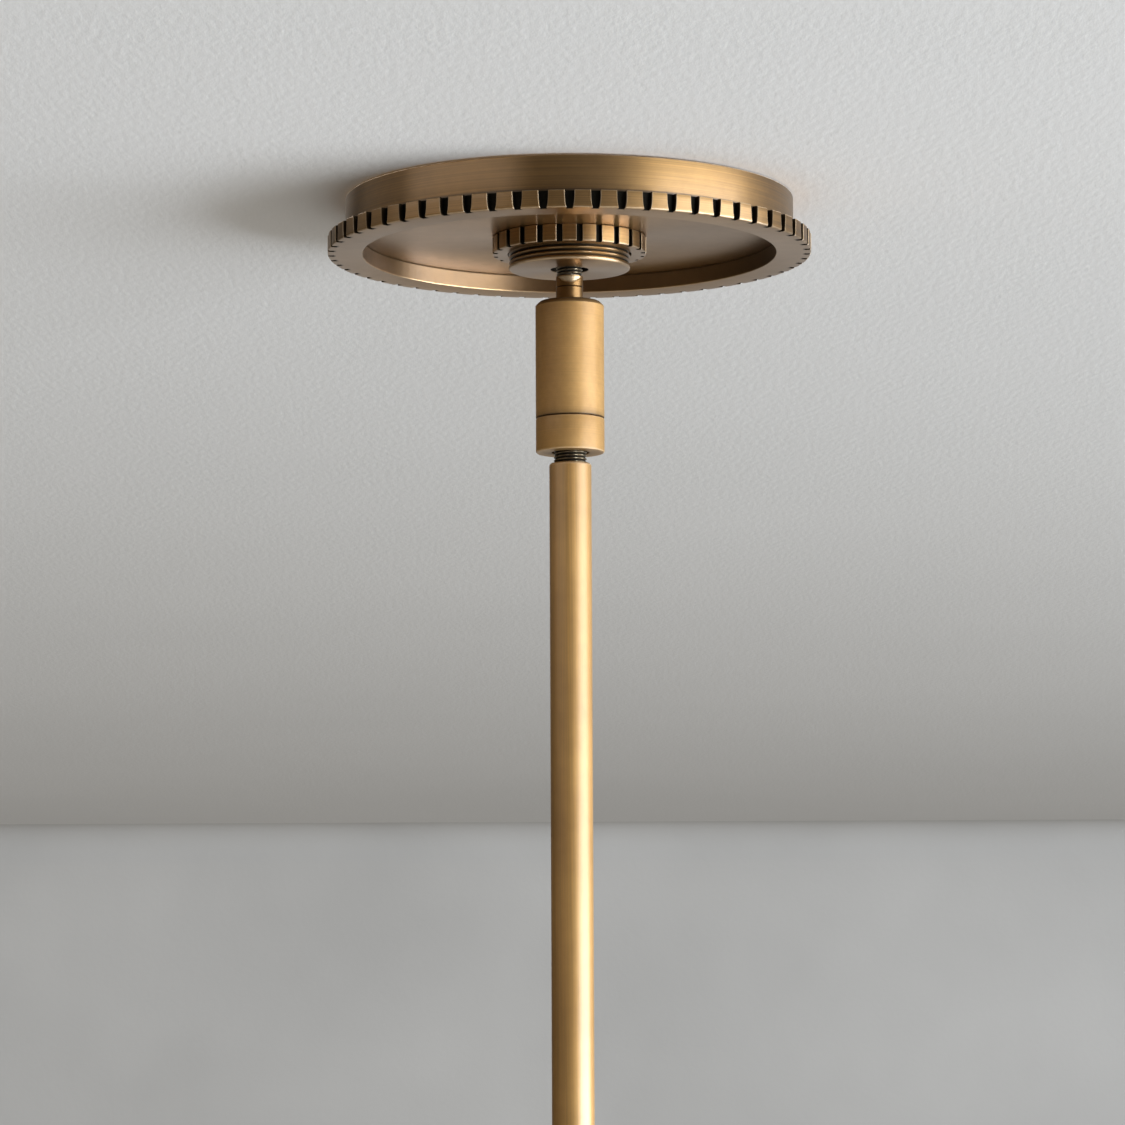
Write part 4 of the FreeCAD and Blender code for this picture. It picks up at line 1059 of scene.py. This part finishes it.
def stage_finish(name, tint, patch, uneven, grain, depth, stretch=1.0, seen=0.0, shade_fades=(), ends=()):
    """Pale paint on one side. From behind it can be seen through, so that the part shows from every side.

    Patch and uneven are its clouds, grain and depth its relief. Seen is how pale it looks to the camera and
    through glass, where the room's light hardly reaches it. A fade is painted shade that darkens it along an
    axis: (axis, start, end, how much). An end goes over into the pale background: (axis, start, where it is
    gone).
    """
    finish = Finish(name)
    finish.feed(Metallic=0.0, Roughness=0.9, Specular_IOR_Level=0.2)
    tree = finish.tree
    axes = split_axes(tree, finish.place)
    light = stretch_range(tree, finish.specks(patch), NOISE_LOW, NOISE_HIGH, 1.0 - uneven, 1.0 + uneven)
    # Each fade is painted shade.
    for axis, begin, end, amount in shade_fades:
        dimmed = stretch_range(tree, axes[axis], begin, end, 1.0, 1.0 - amount)
        light = sum_node(tree, "MULTIPLY", light, dimmed)
    finish.feed(Base_Color=vector_node(tree, "SCALE", tint, light))
    finish.place = vector_node(tree, "MULTIPLY", finish.place, (1.0, stretch, 1.0))
    finish.bump(finish.specks(grain), strength=0.5, distance=depth)
    front = finish.shader.outputs[0]
    if seen:
        glow = make_node(tree, "Emission", {"Color": (seen, seen, seen * GLOW_BLUE)}).outputs[0]
        front = choose_shader(tree, looked_at(tree), front, glow)
    hidden = tree.nodes.new("ShaderNodeNewGeometry").outputs["Backfacing"]
    for axis, begin, end in ends:
        hidden = sum_node(tree, "MAXIMUM", hidden, stretch_range(tree, axes[axis], begin, end))
    see_through = tree.nodes.new("ShaderNodeBsdfTransparent").outputs[0]
    surface = choose_shader(tree, hidden, front, see_through)
    put(tree, surface, tree.nodes["Material Output"].inputs["Surface"])
    return finish.material


def stage_sheet(name, line, material, left=-ROOM_HALF, right=ROOM_HALF, mirrored=True):
    """A sheet across the room, along a line of (depth, height) points, with its pale side to the room."""
    mesh = bpy.data.meshes.new(name + "_mesh")
    spots = [(side, depth, height) for depth, height in line for side in (left, right)]
    faces = [(2 * row, 2 * row + 2, 2 * row + 3, 2 * row + 1) for row in range(len(line) - 1)]
    mesh.from_pydata(spots, [], faces)
    mesh.shade_smooth()
    sheet = add_object(name, mesh)
    mesh.materials.append(material)
    sheet.visible_shadow = False
    sheet.visible_diffuse = False
    sheet.visible_glossy = mirrored


corner_line = []
for step in range(CORNER_STEPS + 1):
    lean = math.pi / 2 * step / CORNER_STEPS
    corner_depth = WALL_BEHIND - ROOM_CORNER * (1 - math.sin(lean))
    corner_height = CEILING_LIFT - ROOM_CORNER * (1 - math.cos(lean))
    corner_line.append((corner_depth, corner_height))
ceiling_line = [(depth, CEILING_LIFT) for depth in CEILING_ROWS] + corner_line[:1]
wall_line = corner_line + [(WALL_BEHIND, -CORNER_SHADING), (WALL_BEHIND, FLOOR_LEVEL)]
floor_line = [(WALL_BEHIND, FLOOR_LEVEL), (-ROOM_HALF, FLOOR_LEVEL)]

# The ceiling is painted darker towards the wall and to the right: painted shade.
ceiling_paint = stage_finish(
    "ceiling_paint", tint=(0.842, 0.808, 0.756), patch=0.5, uneven=0.02, grain=0.0024, depth=0.26,
    stretch=0.35, shade_fades=[("Y", 0.0, WALL_BEHIND, 0.29), ("X", 0.45, 1.5, 0.65)],
    ends=[("X", 0.7, 1.5), ("Y", -0.7, -1.5)])
# The wall is painted a little darker under the corner: painted shade.
wall_paint = stage_finish(
    "wall_paint", tint=(0.515, 0.49, 0.452), patch=0.22, uneven=0.07, grain=0.006, depth=0.3,
    shade_fades=[("Z", -0.05, -0.006, 0.05)])
floor_paint = stage_finish(
    "floor_paint", tint=(0.80, 0.78, 0.745), patch=0.5, uneven=0.02, grain=0.006, depth=0.3, seen=0.5)
stage_sheet("ceiling", ceiling_line, ceiling_paint, mirrored=False)
stage_sheet("wall", wall_line, wall_paint, left=WALL_LEFT)
stage_sheet("far_wall", wall_line, wall_paint, right=WALL_LEFT, mirrored=False)
stage_sheet("floor", floor_line, floor_paint)


# Light: a wide window on the right, a fainter one over it, and faint ones on the left, beside and behind

COOL, WARM = (0.90, 1.0, 1.14), (1.0, 0.92, 0.80)
LIGHT_AIM = Vector((0.0, 0.0, -0.12))
WINDOWS = {
    "right_window": dict(bearing=69.0, level=-0.7, distance=2.5, size=(3.2, 1.0), power=118.0, tint=COOL),
    "upper_window": dict(bearing=70.0, level=0.3, distance=2.5, size=(2.4, 0.7), power=18.0, tint=COOL),
    "left_window": dict(bearing=-58.0, level=0.9, distance=2.6, size=(3.2, 0.8), power=10.5, tint=WARM),
    "side_window": dict(bearing=-114.0, level=0.8, distance=2.4, size=(1.6, 0.9), power=1.0, tint=WARM),
    "back_window": dict(bearing=179.0, level=1.5, distance=2.2, size=(2.2, 1.4), power=28.0, tint=WARM),
}


def window_light(name, bearing, level, distance, size, power, tint):
    """A soft rectangular light, not seen itself. Its bearing is from the camera to the right, in degrees."""
    lamp = bpy.data.lights.new(name, "AREA")
    lamp.shape = "RECTANGLE"
    lamp.size, lamp.size_y = size
    lamp.energy = power
    lamp.color = tint
    holder = add_object(name, lamp)
    turned = math.radians(bearing)
    holder.location = (math.sin(turned) * distance, -math.cos(turned) * distance, level)
    holder.rotation_mode = "QUATERNION"
    holder.rotation_quaternion = (LIGHT_AIM - holder.location).to_track_quat("-Z", "Y")
    holder.visible_camera = False
    holder.visible_transmission = False


for name, window in WINDOWS.items():
    window_light(name, **window)

DIM_ROOM, PALE_BACKGROUND = (0.075, 0.066, 0.052), (0.50, 0.50, 0.495)
ROOM_SIDES = {
    "window": dict(towards=(0.9, 0.2, 0.0), begin=-0.5, full=0.9, shade=(0.46, 0.45, 0.43)),
    "far_left": dict(towards=(-0.72, 0.6, -0.35), begin=0.75, full=1.0, shade=(0.03, 0.028, 0.024)),
    "below": dict(towards=(0.0, 0.0, -1.0), begin=0.25, full=0.9, shade=(0.42, 0.412, 0.395)),
}


def room_world():
    """A dim room in front of a pale background: bright to the window, unlit at the far left, pale below."""
    world = bpy.data.worlds.new("room")
    world.use_nodes = True
    tree = world.node_tree
    way = tree.nodes.new("ShaderNodeTexCoord").outputs["Generated"]
    shades = DIM_ROOM
    for side in ROOM_SIDES.values():
        facing = vector_node(tree, "DOT_PRODUCT", way, side["towards"])
        share = stretch_range(tree, facing, side["begin"], side["full"])
        shades = blend_colours(tree, share, shades, side["shade"])
    background = tree.nodes["Background"]
    put(tree, blend_colours(tree, looked_at(tree), shades, PALE_BACKGROUND), background.inputs["Color"])
    background.inputs["Strength"].default_value = 1.0
    bpy.context.scene.world = world


room_world()


# Camera, where the photograph was taken from

CAMERA_PLACE = (-0.0025, -1.5412, -0.3131)
CAMERA_PITCH = 7.474
CAMERA_ROLL = -0.25
CAMERA_LENS, CAMERA_SENSOR = 165.1, 36.0

camera_data = bpy.data.cameras.new("camera")
camera_data.lens = CAMERA_LENS
camera_data.sensor_width = CAMERA_SENSOR
camera_data.sensor_fit = "HORIZONTAL"
camera_data.clip_start = 0.05
camera_data.clip_end = 60.0
camera = add_object("camera", camera_data)
pitch_turn = Matrix.Rotation(math.radians(90.0 + CAMERA_PITCH), 4, "X")
roll_turn = Matrix.Rotation(math.radians(CAMERA_ROLL), 4, "Z")
camera.matrix_world = Matrix.Translation(Vector(CAMERA_PLACE)) @ pitch_turn @ roll_turn
bpy.context.scene.camera = camera
bpy.context.scene.view_settings.view_transform = "Standard"
